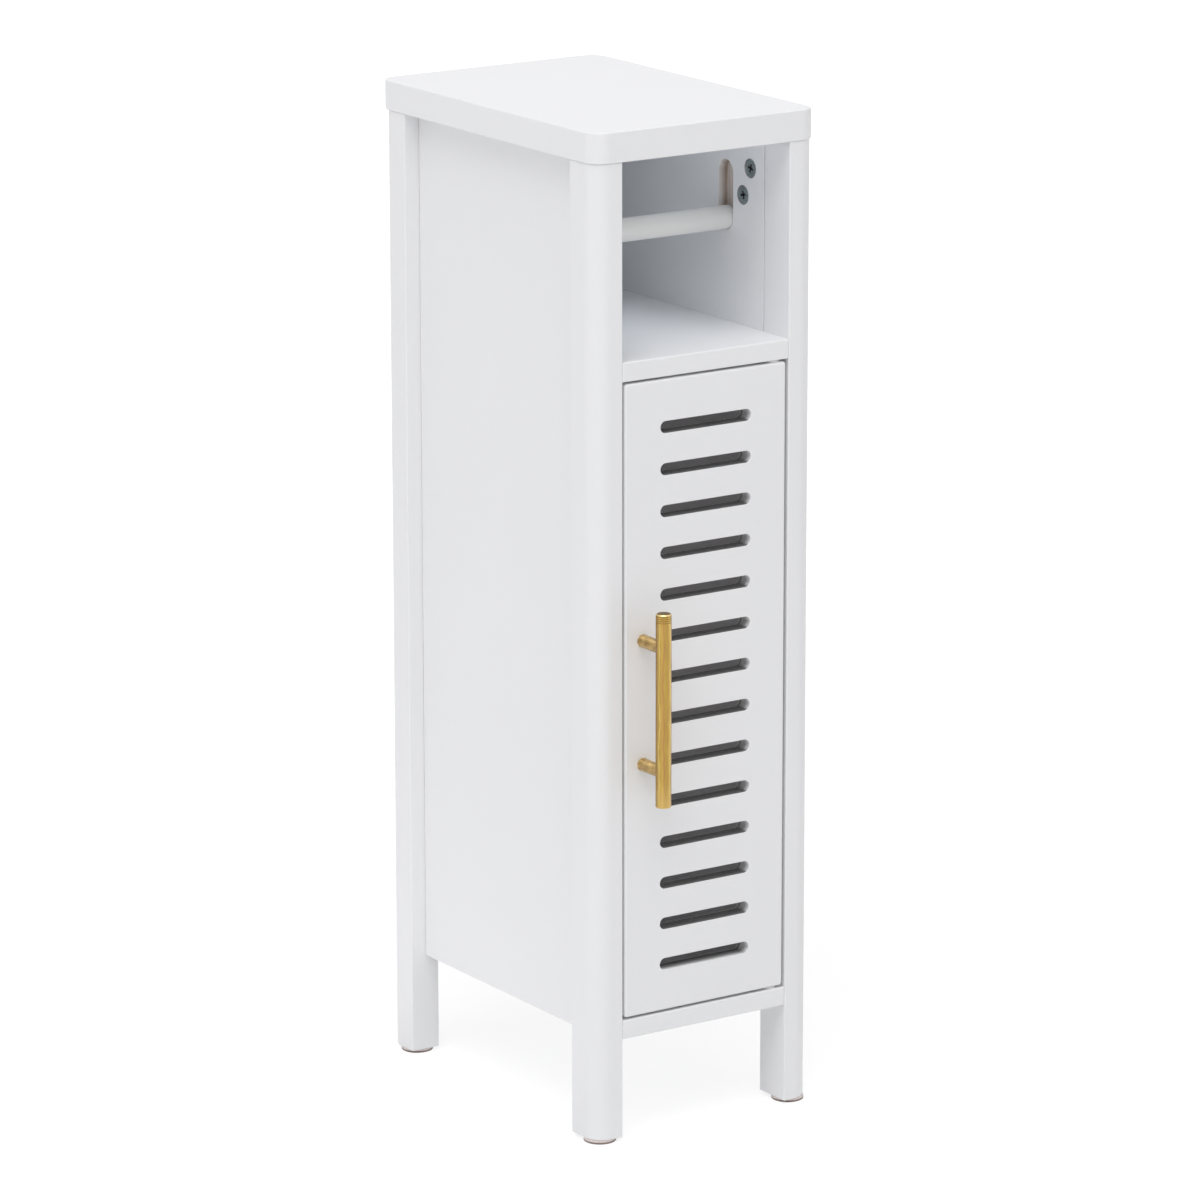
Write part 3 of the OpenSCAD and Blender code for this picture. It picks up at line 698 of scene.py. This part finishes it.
def gold_post():
    """Gold of the handle's posts, mottled by wear of the lacquer."""
    m = Recipe("gold_post")
    streaks = m.noise(scale=340, detail=2, stretch=(1, 0.2, 1))
    blotches = m.noise(scale=260, detail=3, stretch=(1, 0.6, 1))
    streaks = m.math("MULTIPLY", streaks, 1 - POST_BLOTCHES)
    tone = m.math("ADD", streaks, m.math("MULTIPLY", blotches, POST_BLOTCHES))
    gold_shader(m, "Y", m.tones("gold_post", m.spread(tone, 0, 1, 0.36, 0.64)))
    return m.material


def gold_cut(name, rough):
    """Gold where the lathe cut through the lacquer, with fine turning marks. The chamfer's bare gold
    is raised further in tone as a painted highlight.
    """
    m = Recipe(name)
    marks = m.noise(scale=900, detail=3)
    m.set(Base_Color=m.tones(name, m.spread(marks, 0, 1)), Metallic=1.0, Roughness=rough)
    m.bump(marks, depth=0.02 * MM)
    return m.material


def zinc():
    """Die-cast zinc with a fine cast grain."""
    m = Recipe("zinc")
    grain = m.noise(scale=900, detail=4)
    colour = m.tones("zinc", m.spread(grain, 0, 1, 0.38, 0.62))
    m.set(Base_Color=colour, Metallic=0.7, Roughness=m.spread(grain, 0.42, 0.58))
    m.bump(grain, depth=0.03 * MM)
    return m.material


def recess():
    """Near black painted shade inside the screws' driver recesses and the cams' crosses."""
    m = Recipe("recess")
    shade_speckle = m.noise(scale=1200, detail=3)
    m.set(Base_Color=m.tones("recess", m.spread(shade_speckle, 0, 1)), Roughness=0.8)
    m.bump(shade_speckle, depth=0.02 * MM)
    return m.material


def steel():
    """Zinc-plated steel with faint mottling."""
    m = Recipe("steel")
    mottle = m.noise(scale=700, detail=4)
    colour = m.tones("steel", m.spread(mottle, 0, 1))
    m.set(Base_Color=colour, Metallic=1.0, Roughness=m.spread(mottle, 0.24, 0.38))
    m.bump(mottle, depth=0.008 * MM)
    return m.material


def birch():
    """Plain birch with its grain along the dowel and fine pores."""
    m = Recipe("birch")
    grain = m.noise(scale=420, detail=4, stretch=(1, 1, 0.12))
    colour = m.tones("birch", m.spread(grain, 0, 1))
    m.set(Base_Color=colour, Roughness=0.6)
    m.bump(grain, depth=0.05 * MM)
    return m.material


def felt():
    """Pressed felt pads of a pale pinkish felt, with a dark grey-brown band of painted contact
    shadow at the foot.
    """
    m = Recipe("felt")
    fibres = m.noise(scale=1400, detail=5)
    tufts = m.noise(scale=260, detail=3)
    contact_shadow = m.tones("felt_contact_shadow", m.spread(fibres, 0, 1))
    top = m.tones("felt_top", m.spread(fibres, 0, 1))
    # Dark band of painted contact shadow at the pad's foot
    colour = m.mix(m.spread(m.axis("Z"), 0, 1, *PAD_SHADOW_BAND), contact_shadow, top)
    m.set(Base_Color=colour, Roughness=0.95, Sheen_Weight=0.25, Sheen_Roughness=0.6)
    m.bump(fibres, depth=0.12 * MM, under=m.bump(tufts, depth=0.2 * MM))
    return m.material


def nylon():
    """White moulded nylon with a faint texture."""
    m = Recipe("nylon")
    texture = m.noise(scale=1100, detail=2)
    colour = m.tones("nylon", m.spread(texture, 0, 1))
    m.set(Base_Color=colour, Roughness=m.spread(texture, 0.34, 0.46))
    m.bump(texture, depth=0.015 * MM)
    return m.material


def magnet():
    """Dark sintered magnet with a granular face."""
    m = Recipe("magnet")
    grains = m.cells(scale=900)
    colour = m.tones("magnet", m.spread(grains, 0, 1, 0, 1))
    m.set(Base_Color=colour, Metallic=0.3, Roughness=0.6)
    m.bump(grains, depth=0.03 * MM)
    return m.material


# The roll bar's lacquer is a little warmer and glossier than the boards' paint
PAINT = paint("white_paint", rough=0.42)
BAR_PAINT = paint("bar_paint", rough=0.36)
RAW = raw_board()
SLOT_WALLS_PAINTED_SHADE = slot_cut()
GROOVE_WALL = groove_finish("groove_wall", thin_spray=0.05)
GROOVE_FLOOR = groove_finish("groove_floor", thin_spray=0.5)
# Near black painted shade for the recesses and the cams' crosses
RECESS_SHADE = recess()
GOLD_POST = gold_post()
GOLD_END = gold_cut("gold_end", rough=0.5)
# Chamfer: bare gold whose tone is raised further as a painted highlight
GOLD_CHAMFER_HIGHLIGHT = gold_cut("gold_chamfer_highlight", rough=0.35)
GOLD_RING = gold_cut("gold_ring", rough=0.5)
FINISH = {
    "white_paint": PAINT,
    "gold": gold_bar(),
    "zinc": zinc(),
    "steel": steel(),
    "birch": birch(),
    "felt": felt(),
    "nylon": nylon(),
    "magnet": magnet(),
}


# ---- places of the cam locks, from the boxes of their nodes ----

def ends_of(node, axis, r):
    """The lowest and highest centre along an axis of the round pieces in a node."""
    low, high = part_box(node)
    return low[axis] + r, high[axis] - r


def side_cams():
    """(y, z, turn) of each cam lock in a side panel."""
    low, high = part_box("top_cam_locks")
    top_z = (low.z + high.z) / 2
    top = [(y, top_z, TOP_CAM_TURN) for y in ends_of("top_cam_locks", 1, CAM_R)]
    ys, zs = ends_of("post_cam_locks", 1, CAM_R), ends_of("post_cam_locks", 2, CAM_R)
    return top, [(y, z, POST_CAM_TURN) for y, z in itertools.product(ys, zs)]


def board_cams(node):
    """(x, y) of each cam lock under a board."""
    return itertools.product(ends_of(node, 0, CAM_R), ends_of(node, 1, CAM_R))


# ---- places of the pieces ----

def from_above(z, x=0, y=0):
    return axes((x, y, z), (1, 0, 0), (0, 1, 0), (0, 0, -1))


def from_below(x, y, z):
    return axes((x, y, z), (1, 0, 0), (0, -1, 0), (0, 0, 1))


def upwards(x, y, z):
    """Axes of a round piece that is built from its foot up."""
    return axes((x, y, z), (1, 0, 0), (0, 1, 0), (0, 0, 1))


def from_inside(side, x, y=0, z=0):
    """Axes on a surface that faces the middle: u runs to the rear on the left side."""
    return axes((side * x, y, z), (0, -side, 0), (0, 0, 1), (side, 0, 0))


def from_front(y):
    return axes((0, y, 0), (1, 0, 0), (0, 0, 1), (0, 1, 0))


def from_behind(x, y, z):
    return axes((x, y, z), (-1, 0, 0), (0, 0, 1), (0, -1, 0))


# ---- painted boards ----

def top_panel():
    low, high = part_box("top_panel")
    bm = bmesh.new()
    shape = rectangle(low.xy, high.xy, [SLAB_CORNER] * 4)
    plate(bm, from_above(high.z), shape, high.z - low.z, SLAB_EDGE)
    finish_piece("top_panel", bm, PAINT)


def back_panel_groove(bm, side, inner_x):
    """Groove for the back panel in the inner face of a rear post."""
    low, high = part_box("back_panel")
    us = sorted((-side * low.y, -side * high.y))
    start = (us[0] - BACK_GROOVE_ROOM, low.z)
    end = (us[1] + BACK_GROOVE_ROOM, high.z - POST_EDGE)
    depth = high.x + BACK_GROOVE_ROOM - inner_x
    side_pocket(bm, from_inside(side, inner_x), rectangle(start, end, [TINY] * 4), depth, CUT_INDEX)


def post(node, side, row):
    """Post with its large round corner outwards. side and row are -1 for left and for front."""
    low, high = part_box(node)
    radii = [POST_EDGE] * 4
    radii[POST_CORNERS.index((side, row))] = POST_CORNER
    bm = bmesh.new()
    shape = rectangle(low.xy, high.xy, radii)
    plate(bm, from_above(high.z), shape, high.z - low.z, POST_END_EDGE)
    if row > 0:
        back_panel_groove(bm, side, min(abs(low.x), abs(high.x)))
    finish_piece(node, bm, PAINT, RAW)


def side_panel(node, side):
    low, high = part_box(node)
    inner_x = min(abs(low.x), abs(high.x))
    bar_low, bar_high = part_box("roll_bar")
    bar = (bar_low + bar_high) / 2
    us = sorted((-side * (low.y + PANEL_FRONT_JOINT), -side * (high.y - PANEL_REAR_JOINT)))
    shape = rectangle((us[0], low.z), (us[1], high.z), [2 * PANEL_EDGE] * 4)
    middle = (-side * bar.y, bar.z + BAR_LIFT / 2)
    groove = stadium(middle, BAR_LIFT + 2 * GROOVE_R, 2 * GROOVE_R, upright=True)
    pockets = [(groove, GROOVE_EDGE, GROOVE_DEPTH, CUT_INDEX, FLOOR_INDEX)]
    for y, z, _ in itertools.chain(*side_cams()):
        bore = circle((-side * y, z), CAM_BORE_R)
        pockets.append((bore, TINY, CAM_BORE_DEPTH, BORE_INDEX, BORE_INDEX))
    bm = bmesh.new()
    plate(bm, from_inside(side, inner_x), shape, high.x - low.x, PANEL_EDGE, pockets=pockets)
    finish_piece(node, bm, PAINT, GROOVE_WALL, GROOVE_FLOOR, RAW)


def cross_board(node, cams):
    low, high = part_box(node)
    shape = rectangle(low.xy, high.xy, [BOARD_EDGE + TINY] * 4, ease=(0, 1, 0, 0))
    pockets = [
        (circle((x, y), CAM_BORE_R), TINY, CAM_BORE_DEPTH, CUT_INDEX, CUT_INDEX)
        for x, y in board_cams(cams)
    ]
    bm = bmesh.new()
    plate(bm, from_above(high.z), shape, high.z - low.z, BOARD_EDGE, back_pockets=pockets)
    finish_piece(node, bm, PAINT, RAW)


def back_panel():
    low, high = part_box("back_panel")
    bm = bmesh.new()
    shape = rectangle(low.xz, high.xz, [2 * BACK_EDGE] * 4)
    plate(bm, from_front(low.y), shape, high.y - low.y, BACK_EDGE)
    finish_piece("back_panel", bm, PAINT)


def door_panel():
    low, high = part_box("door_panel")
    middle = (low + high) / 2
    slots = []
    for step in range(SLOT_COUNT):
        z = middle.z + (step - (SLOT_COUNT - 1) / 2) * SLOT_PITCH
        slots.append((stadium((middle.x, z), SLOT_LENGTH, SLOT_HEIGHT), SLOT_EDGE, CUT_INDEX))
    bm = bmesh.new()
    shape = rectangle(low.xz, high.xz, [DOOR_CORNER] * 4)
    plate(bm, from_front(low.y), shape, high.y - low.y, DOOR_EDGE, slots=slots)
    finish_piece("door_panel", bm, PAINT, SLOT_WALLS_PAINTED_SHADE)


# ---- turned pieces ----

def rounded_end(r, edge, depth, inwards):
    """Profile points round the edge of a bar's end, from its flat to its side, or back."""
    points = [(r - inset, depth + inwards * down) for inset, down in front_stops(edge)]
    return points if inwards > 0 else points[::-1]


def rod(r, length, edge):
    """Profile of a round bar with rounded edges."""
    return [(0, 0), *rounded_end(r, edge, 0, 1), *rounded_end(r, edge, length, -1), (0, length)]


def roll_bar():
    low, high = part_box("roll_bar")
    middle = (low + high) / 2
    bm = bmesh.new()
    place = axes((low.x, middle.y, middle.z), (0, 1, 0), (0, 0, 1), (1, 0, 0))
    turned(bm, place, rod((high.z - low.z) / 2, high.x - low.x, BAR_EDGE))
    finish_piece("roll_bar", bm, BAR_PAINT)


def handle_end(r, depth, inwards, ring_count):
    """Profile of one end of the handle bar: its chamfer and a number of fine turned rings."""
    points = [(r - HANDLE_CHAMFER, 0), (r, HANDLE_CHAMFER)]
    for ring in range(ring_count):
        centre = HANDLE_RING_START + ring * HANDLE_RING_PITCH
        points += [
            (r, centre - HANDLE_RING_HALF),
            (r - HANDLE_RING_DEPTH, centre),
            (r, centre + HANDLE_RING_HALF),
        ]
    points = [(radius, depth + inwards * down) for radius, down in points]
    return points if inwards > 0 else points[::-1]


def mark_handle_ends(bm):
    """Gives rings and chamfers their materials. They are told apart by how far they lean."""
    ring_lean = HANDLE_RING_DEPTH / math.hypot(HANDLE_RING_DEPTH, HANDLE_RING_HALF)
    chamfer_lean = math.sin(math.radians(45))
    bm.normal_update()
    for face in bm.faces:
        lean = abs(face.normal.z)
        if math.isclose(lean, ring_lean, rel_tol=LEAN_TOLERANCE):
            face.material_index = RING_INDEX
        elif math.isclose(lean, chamfer_lean, rel_tol=LEAN_TOLERANCE):
            face.material_index = CHAMFER_INDEX


def handle_bar():
    low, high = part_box("handle_bar")
    r = (high.x - low.x) / 2
    length = high.z - low.z
    bm = bmesh.new()
    profile = [(0, 0), *handle_end(r, 0, 1, 0), *handle_end(r, length, -1, HANDLE_RINGS), (0, length)]
    turned(bm, upwards(low.x + r, low.y + r, low.z), profile, end_index=CUT_INDEX)
    mark_handle_ends(bm)
    finish_piece("handle_bar", bm, FINISH["gold"], GOLD_END, GOLD_CHAMFER_HIGHLIGHT, GOLD_RING)


def handle_post(node):
    """Round post from the door to the bar, its end coped to the bar's surface."""
    low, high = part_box(node)
    bar_low, bar_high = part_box("handle_bar")
    bar_r = (bar_high.x - bar_low.x) / 2
    bar_y = bar_low.y + bar_r
    r = (high.x - low.x) / 2
    middle = (low + high) / 2
    place = axes((middle.x, high.y, middle.z), (1, 0, 0), (0, 0, 1), (0, -1, 0))
    bm = bmesh.new()

    def coped(u):
        return high.y - bar_y - math.sqrt(bar_r ** 2 - u ** 2)

    rings = [[bm.verts.new(place(0, 0, 0))], add_ring(bm, place, circle((0, 0), r)(0), 0)]
    for ring in range(COPE_RINGS):
        points = circle((0, 0), r * (1 - ring / COPE_RINGS))(0)
        rings.append([bm.verts.new(place(u, v, coped(u))) for u, v in points])
    rings.append([bm.verts.new(place(0, 0, coped(0)))])
    for a, b in zip(rings, rings[1:]):
        bridge(bm, a, b, BODY_INDEX)
    finish_piece(node, bm, GOLD_POST)


def pad(node):
    low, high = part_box(node)
    r = (high.x - low.x) / 2
    bm = bmesh.new()
    place = from_above(high.z, low.x + r, low.y + r)
    turned(bm, place, rod(r, high.z - low.z, PAD_EDGE))
    finish_piece(node, bm, FINISH["felt"])


def washer(node):
    """Ring with eased edges round its pivot pin."""
    low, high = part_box(node)
    pin_low, pin_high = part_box("upper_pivot_pin")
    r = (high.x - low.x) / 2
    hole = circle((0, 0), (pin_high.x - pin_low.x) / 2)
    bm = bmesh.new()
    place = upwards(low.x + r, low.y + r, low.z)
    slots = [(hole, WASHER_EDGE, BODY_INDEX)]
    plate(bm, place, circle((0, 0), r), high.z - low.z, WASHER_EDGE, slots=slots)
    finish_piece(node, bm, FINISH["nylon"])


# ---- cam locks and screws ----

def cam_lock(bm, place, turn):
    """Cam seen face on: bevelled rim, dished face, tapered cross and a small arrow."""
    length, width, depth = CAM_CROSS
    reach, size, arrow_depth = CAM_ARROW
    face_r = CAM_R - CAM_BEVEL - CAM_RIM
    profile = [
        (0, CAM_H), (CAM_R, CAM_H), (CAM_R, CAM_BEVEL), (CAM_R - CAM_BEVEL, 0), (face_r, 0),
        (face_r - CAM_DISH, CAM_DISH),
    ]
    edge_ring = turned(bm, place, profile)
    marks = [
        (cross(length, width, turn), depth, CAM_CROSS_TAPER, CUT_INDEX),
        (triangle(reach, size, turn + CAM_ARROW_TURN), arrow_depth, CAM_ARROW_TAPER, BODY_INDEX),
    ]
    sunk_face(bm, place, edge_ring, CAM_DISH, marks)


def side_cam_locks(node, cams):
    """Cam locks of both side panels, from (y, z, turn) of each."""
    inner_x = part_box(node)[1].x - CAM_H
    bm = bmesh.new()
    for side, (y, z, turn) in itertools.product(SIDES, cams):
        cam_lock(bm, from_inside(side, inner_x, y, z), turn)
    finish_piece(node, bm, FINISH["zinc"], RECESS_SHADE)


def board_cam_locks(node):
    """Cam locks under a board."""
    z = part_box(node)[0].z
    bm = bmesh.new()
    for x, y in board_cams(node):
        cam_lock(bm, from_below(x, y, z), BOARD_CAM_TURN)
    finish_piece(node, bm, FINISH["zinc"], RECESS_SHADE)


def screw(bm, place, length, shank_r, head_r, head_h, turn):
    """Pan head screw with its head's top at depth 0 and its tip at the far end."""
    end = head_h + length
    flat_r = head_r * HEAD_FLAT
    crown_h = head_h * (1 - HEAD_RIM)
    profile = [
        (0, end), (shank_r * SCREW_TIP, end), (shank_r, end - shank_r), (shank_r, head_h),
        (head_r, head_h), (head_r, crown_h),
    ]
    for angle in HEAD_ANGLES:
        lean = math.radians(angle)
        profile.append((flat_r + (head_r - flat_r) * math.cos(lean), crown_h * (1 - math.sin(lean))))
    edge_ring = turned(bm, place, profile)
    shape = cross(head_r * RECESS_LENGTH, head_r * RECESS_WIDTH, turn)
    mark = (shape, head_h * RECESS_DEPTH, head_r * RECESS_TAPER, CUT_INDEX)
    sunk_face(bm, place, edge_ring, 0, [mark])


def back_panel_screws():
    node = "back_panel_screws"
    low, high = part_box(node)
    length = high.y - low.y - SCREW_HEAD_H
    left, right = ends_of(node, 0, SCREW_HEAD_R)
    xs = (left, (left + right) / 2, right)
    zs = ends_of(node, 2, SCREW_HEAD_R)
    bm = bmesh.new()
    for i, (x, z) in enumerate(itertools.product(xs, zs)):
        turn = BACK_SCREW_TURN * i
        screw(bm, from_behind(x, high.y, z), length, SCREW_R, SCREW_HEAD_R, SCREW_HEAD_H, turn)
    finish_piece(node, bm, FINISH["steel"], RECESS_SHADE)


def handle_screws():
    node = "handle_screws"
    low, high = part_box(node)
    head_r = (high.x - low.x) / 2
    length = high.y - low.y - HANDLE_SCREW_HEAD_H
    bm = bmesh.new()
    for z, turn in zip(ends_of(node, 2, head_r), HANDLE_SCREW_TURNS):
        place = from_behind(low.x + head_r, high.y, z)
        screw(bm, place, length, HANDLE_SCREW_R, head_r, HANDLE_SCREW_HEAD_H, turn)
    finish_piece(node, bm, FINISH["steel"], RECESS_SHADE)


def finish_cad_pieces():
    """Finishes for the CAD meshes, which hidden fittings and the catch behind the door keep."""
    for node, obj in frame["nodes"].items():
        obj.data.materials.clear()
        obj.data.materials.append(FINISH[SLOT_OF[node]])


def build_object():
    finish_cad_pieces()
    top_panel()
    for name, side in (("left", -1), ("right", 1)):
        post(f"front_{name}_post", side, -1)
        post(f"rear_{name}_post", side, 1)
        side_panel(f"{name}_side_panel", side)
        pad(f"front_{name}_pad")
        pad(f"rear_{name}_pad")
    cross_board("roll_shelf", "shelf_cam_locks")
    cross_board("bottom_board", "bottom_cam_locks")
    back_panel()
    door_panel()
    roll_bar()
    handle_bar()
    for name in ("upper", "lower"):
        handle_post(f"{name}_handle_post")
        washer(f"{name}_pivot_washer")
    top, posts = side_cams()
    side_cam_locks("top_cam_locks", top)
    side_cam_locks("post_cam_locks", posts)
    board_cam_locks("shelf_cam_locks")
    board_cam_locks("bottom_cam_locks")
    back_panel_screws()
    handle_screws()


# ---- floor, light and camera ----

def seen_directly(nodes, links):
    """Socket that is 1 for camera, glossy and transmission rays."""
    path = nodes.new("ShaderNodeLightPath")
    total = path.outputs["Is Camera Ray"]
    for name in ("Is Glossy Ray", "Is Transmission Ray"):
        highest = nodes.new("ShaderNodeMath")
        highest.operation = "MAXIMUM"
        links.new(total, highest.inputs[0])
        links.new(path.outputs[name], highest.inputs[1])
        total = highest.outputs["Value"]
    return total


def floor_glow(nodes, links):
    """Emission that rises to plain white away from the object."""
    place = nodes.new("ShaderNodeTexCoord")
    distance = nodes.new("ShaderNodeVectorMath")
    distance.operation = "LENGTH"
    links.new(place.outputs["Object"], distance.inputs[0])
    rise = nodes.new("ShaderNodeMapRange")
    rise.interpolation_type = "SMOOTHSTEP"
    limits = zip(("From Min", "From Max", "To Min", "To Max"), (*FLOOR_RISE, FLOOR_GLOW, 1.0))
    for name, value in limits:
        rise.inputs[name].default_value = value
    links.new(distance.outputs["Value"], rise.inputs["Value"])
    glow = nodes.new("ShaderNodeEmission")
    links.new(rise.outputs["Result"], glow.inputs["Strength"])
    return glow.outputs["Emission"]


def floor_material():
    """White floor. Seen directly, it is lifted to white and keeps a soft shadow."""
    material = bpy.data.materials.new("floor")
    material.use_nodes = True
    nodes, links = material.node_tree.nodes, material.node_tree.links
    nodes.clear()
    lit = nodes.new("ShaderNodeBsdfDiffuse")
    lit.inputs["Color"].default_value = grey(FLOOR_ALBEDO)
    shadowed = nodes.new("ShaderNodeBsdfDiffuse")
    shadowed.inputs["Color"].default_value = grey(FLOOR_SHADOW_SHARE)
    lifted = nodes.new("ShaderNodeAddShader")
    links.new(shadowed.outputs["BSDF"], lifted.inputs[0])
    links.new(floor_glow(nodes, links), lifted.inputs[1])
    mix = nodes.new("ShaderNodeMixShader")
    links.new(seen_directly(nodes, links), mix.inputs["Fac"])
    links.new(lit.outputs["BSDF"], mix.inputs[1])
    links.new(lifted.outputs["Shader"], mix.inputs[2])
    output = nodes.new("ShaderNodeOutputMaterial")
    links.new(mix.outputs["Shader"], output.inputs["Surface"])
    return material


def white_floor():
    half = FLOOR_SIZE / 2
    mesh = bpy.data.meshes.new("floor")
    corners = [(-half, -half, 0), (half, -half, 0), (half, half, 0), (-half, half, 0)]
    mesh.from_pydata(corners, [], [(0, 1, 2, 3)])
    mesh.materials.append(floor_material())
    obj = bpy.data.objects.new("floor", mesh)
    bpy.context.scene.collection.objects.link(obj)


def world():
    """Even white surroundings: they light the object softly, and are plain white where seen."""
    made = bpy.data.worlds.new("studio")
    bpy.context.scene.world = made
    made.use_nodes = True
    nodes, links = made.node_tree.nodes, made.node_tree.links
    background = nodes["Background"]
    background.inputs["Color"].default_value = grey(1)
    strength = nodes.new("ShaderNodeMapRange")
    strength.inputs["To Min"].default_value = AMBIENT
    strength.inputs["To Max"].default_value = 1.0
    links.new(seen_directly(nodes, links), strength.inputs["Value"])
    links.new(strength.outputs["Result"], background.inputs["Strength"])


def softbox(name, place, target, width, height, watts):
    """Rectangular studio lamp at a place, facing a target."""
    light = bpy.data.lights.new(name, "AREA")
    light.shape = "RECTANGLE"
    light.size, light.size_y = width, height
    light.energy = watts
    obj = bpy.data.objects.new(name, light)
    bpy.context.scene.collection.objects.link(obj)
    obj.location = place
    obj.rotation_euler = (target - place).to_track_quat("-Z", "Y").to_euler()
    return obj


def studio_lamp(name, azimuth, elevation, distance, size, watts):
    a, e = math.radians(azimuth), math.radians(elevation)
    aim = Vector((math.sin(a) * math.cos(e), -math.cos(a) * math.cos(e), math.sin(e)))
    softbox(name, LAMP_TARGET + distance * aim, LAMP_TARGET, size, size, watts)


def faint_lamp(name, place, direction, kind):
    """Faint lamp that camera and reflections don't see."""
    width, height, watts, colour, spread = kind
    obj = softbox(name, place, place + Vector(direction), width, height, watts)
    obj.data.color = colour
    obj.data.spread = spread
    obj.visible_camera = False
    obj.visible_glossy = False


def bay_lamp():
    """Under the front of the top panel, facing down."""
    place = Vector((*BAY_LAMP_PLACE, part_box("top_panel")[0].z - FAINT_LAMP_GAP))
    faint_lamp("bay_lamp", place, (0, 0, -1), BAY_LAMP)


def shelf_lamp():
    """Left of the middle, just lower than the roll bar, facing down."""
    place = Vector((*SHELF_LAMP_PLACE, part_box("roll_bar")[0].z - FAINT_LAMP_GAP))
    faint_lamp("shelf_lamp", place, (0, 0, -1), SHELF_LAMP)


def storage_lamp():
    """On the left wall behind the door, facing right."""
    wall_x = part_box("left_side_panel")[1].x
    low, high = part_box("door_panel")
    place = Vector((wall_x + STORAGE_LAMP_GAP, 0, (low.z + high.z) / 2))
    faint_lamp("storage_lamp", place, (1, 0, 0), STORAGE_LAMP)


def floor_lamp():
    """On the floor at the left, facing up."""
    place = Vector((*FLOOR_LAMP_PLACE, FAINT_LAMP_GAP))
    faint_lamp("floor_lamp", place, (0, 0, 1), FLOOR_LAMP)


def camera():
    """Camera at the photograph's viewing angle, found from measured corners."""
    data = bpy.data.cameras.new("camera")
    data.sensor_width = SENSOR
    data.lens = SENSOR * FOCAL_LENGTH_PIXELS / PHOTO_PIXELS
    data.clip_end = 2 * FLOOR_SIZE
    obj = bpy.data.objects.new("camera", data)
    bpy.context.scene.collection.objects.link(obj)
    forward = Vector((
        math.sin(CAMERA_YAW) * math.cos(CAMERA_PITCH),
        math.cos(CAMERA_YAW) * math.cos(CAMERA_PITCH),
        math.sin(CAMERA_PITCH),
    ))
    level = Vector((math.cos(CAMERA_YAW), -math.sin(CAMERA_YAW), 0))
    upright = level.cross(forward)
    right = level * math.cos(CAMERA_ROLL) + upright * math.sin(CAMERA_ROLL)
    up = upright * math.cos(CAMERA_ROLL) - level * math.sin(CAMERA_ROLL)
    obj.matrix_world = matrix_of(right, up, -forward, CAMERA_PLACE)
    bpy.context.scene.camera = obj


def matrix_of(x, y, z, origin):
    made = Matrix.Identity(4)
    for column, vector in enumerate((x, y, z, origin)):
        for row in range(3):
            made[row][column] = vector[row]
    return made


def stage_and_light():
    white_floor()
    world()
    for lamp in LAMPS:
        studio_lamp(*lamp)
    bay_lamp()
    shelf_lamp()
    storage_lamp()
    floor_lamp()
    camera()


build_object()
stage_and_light()
bpy.context.scene.view_settings.view_transform = "Standard"
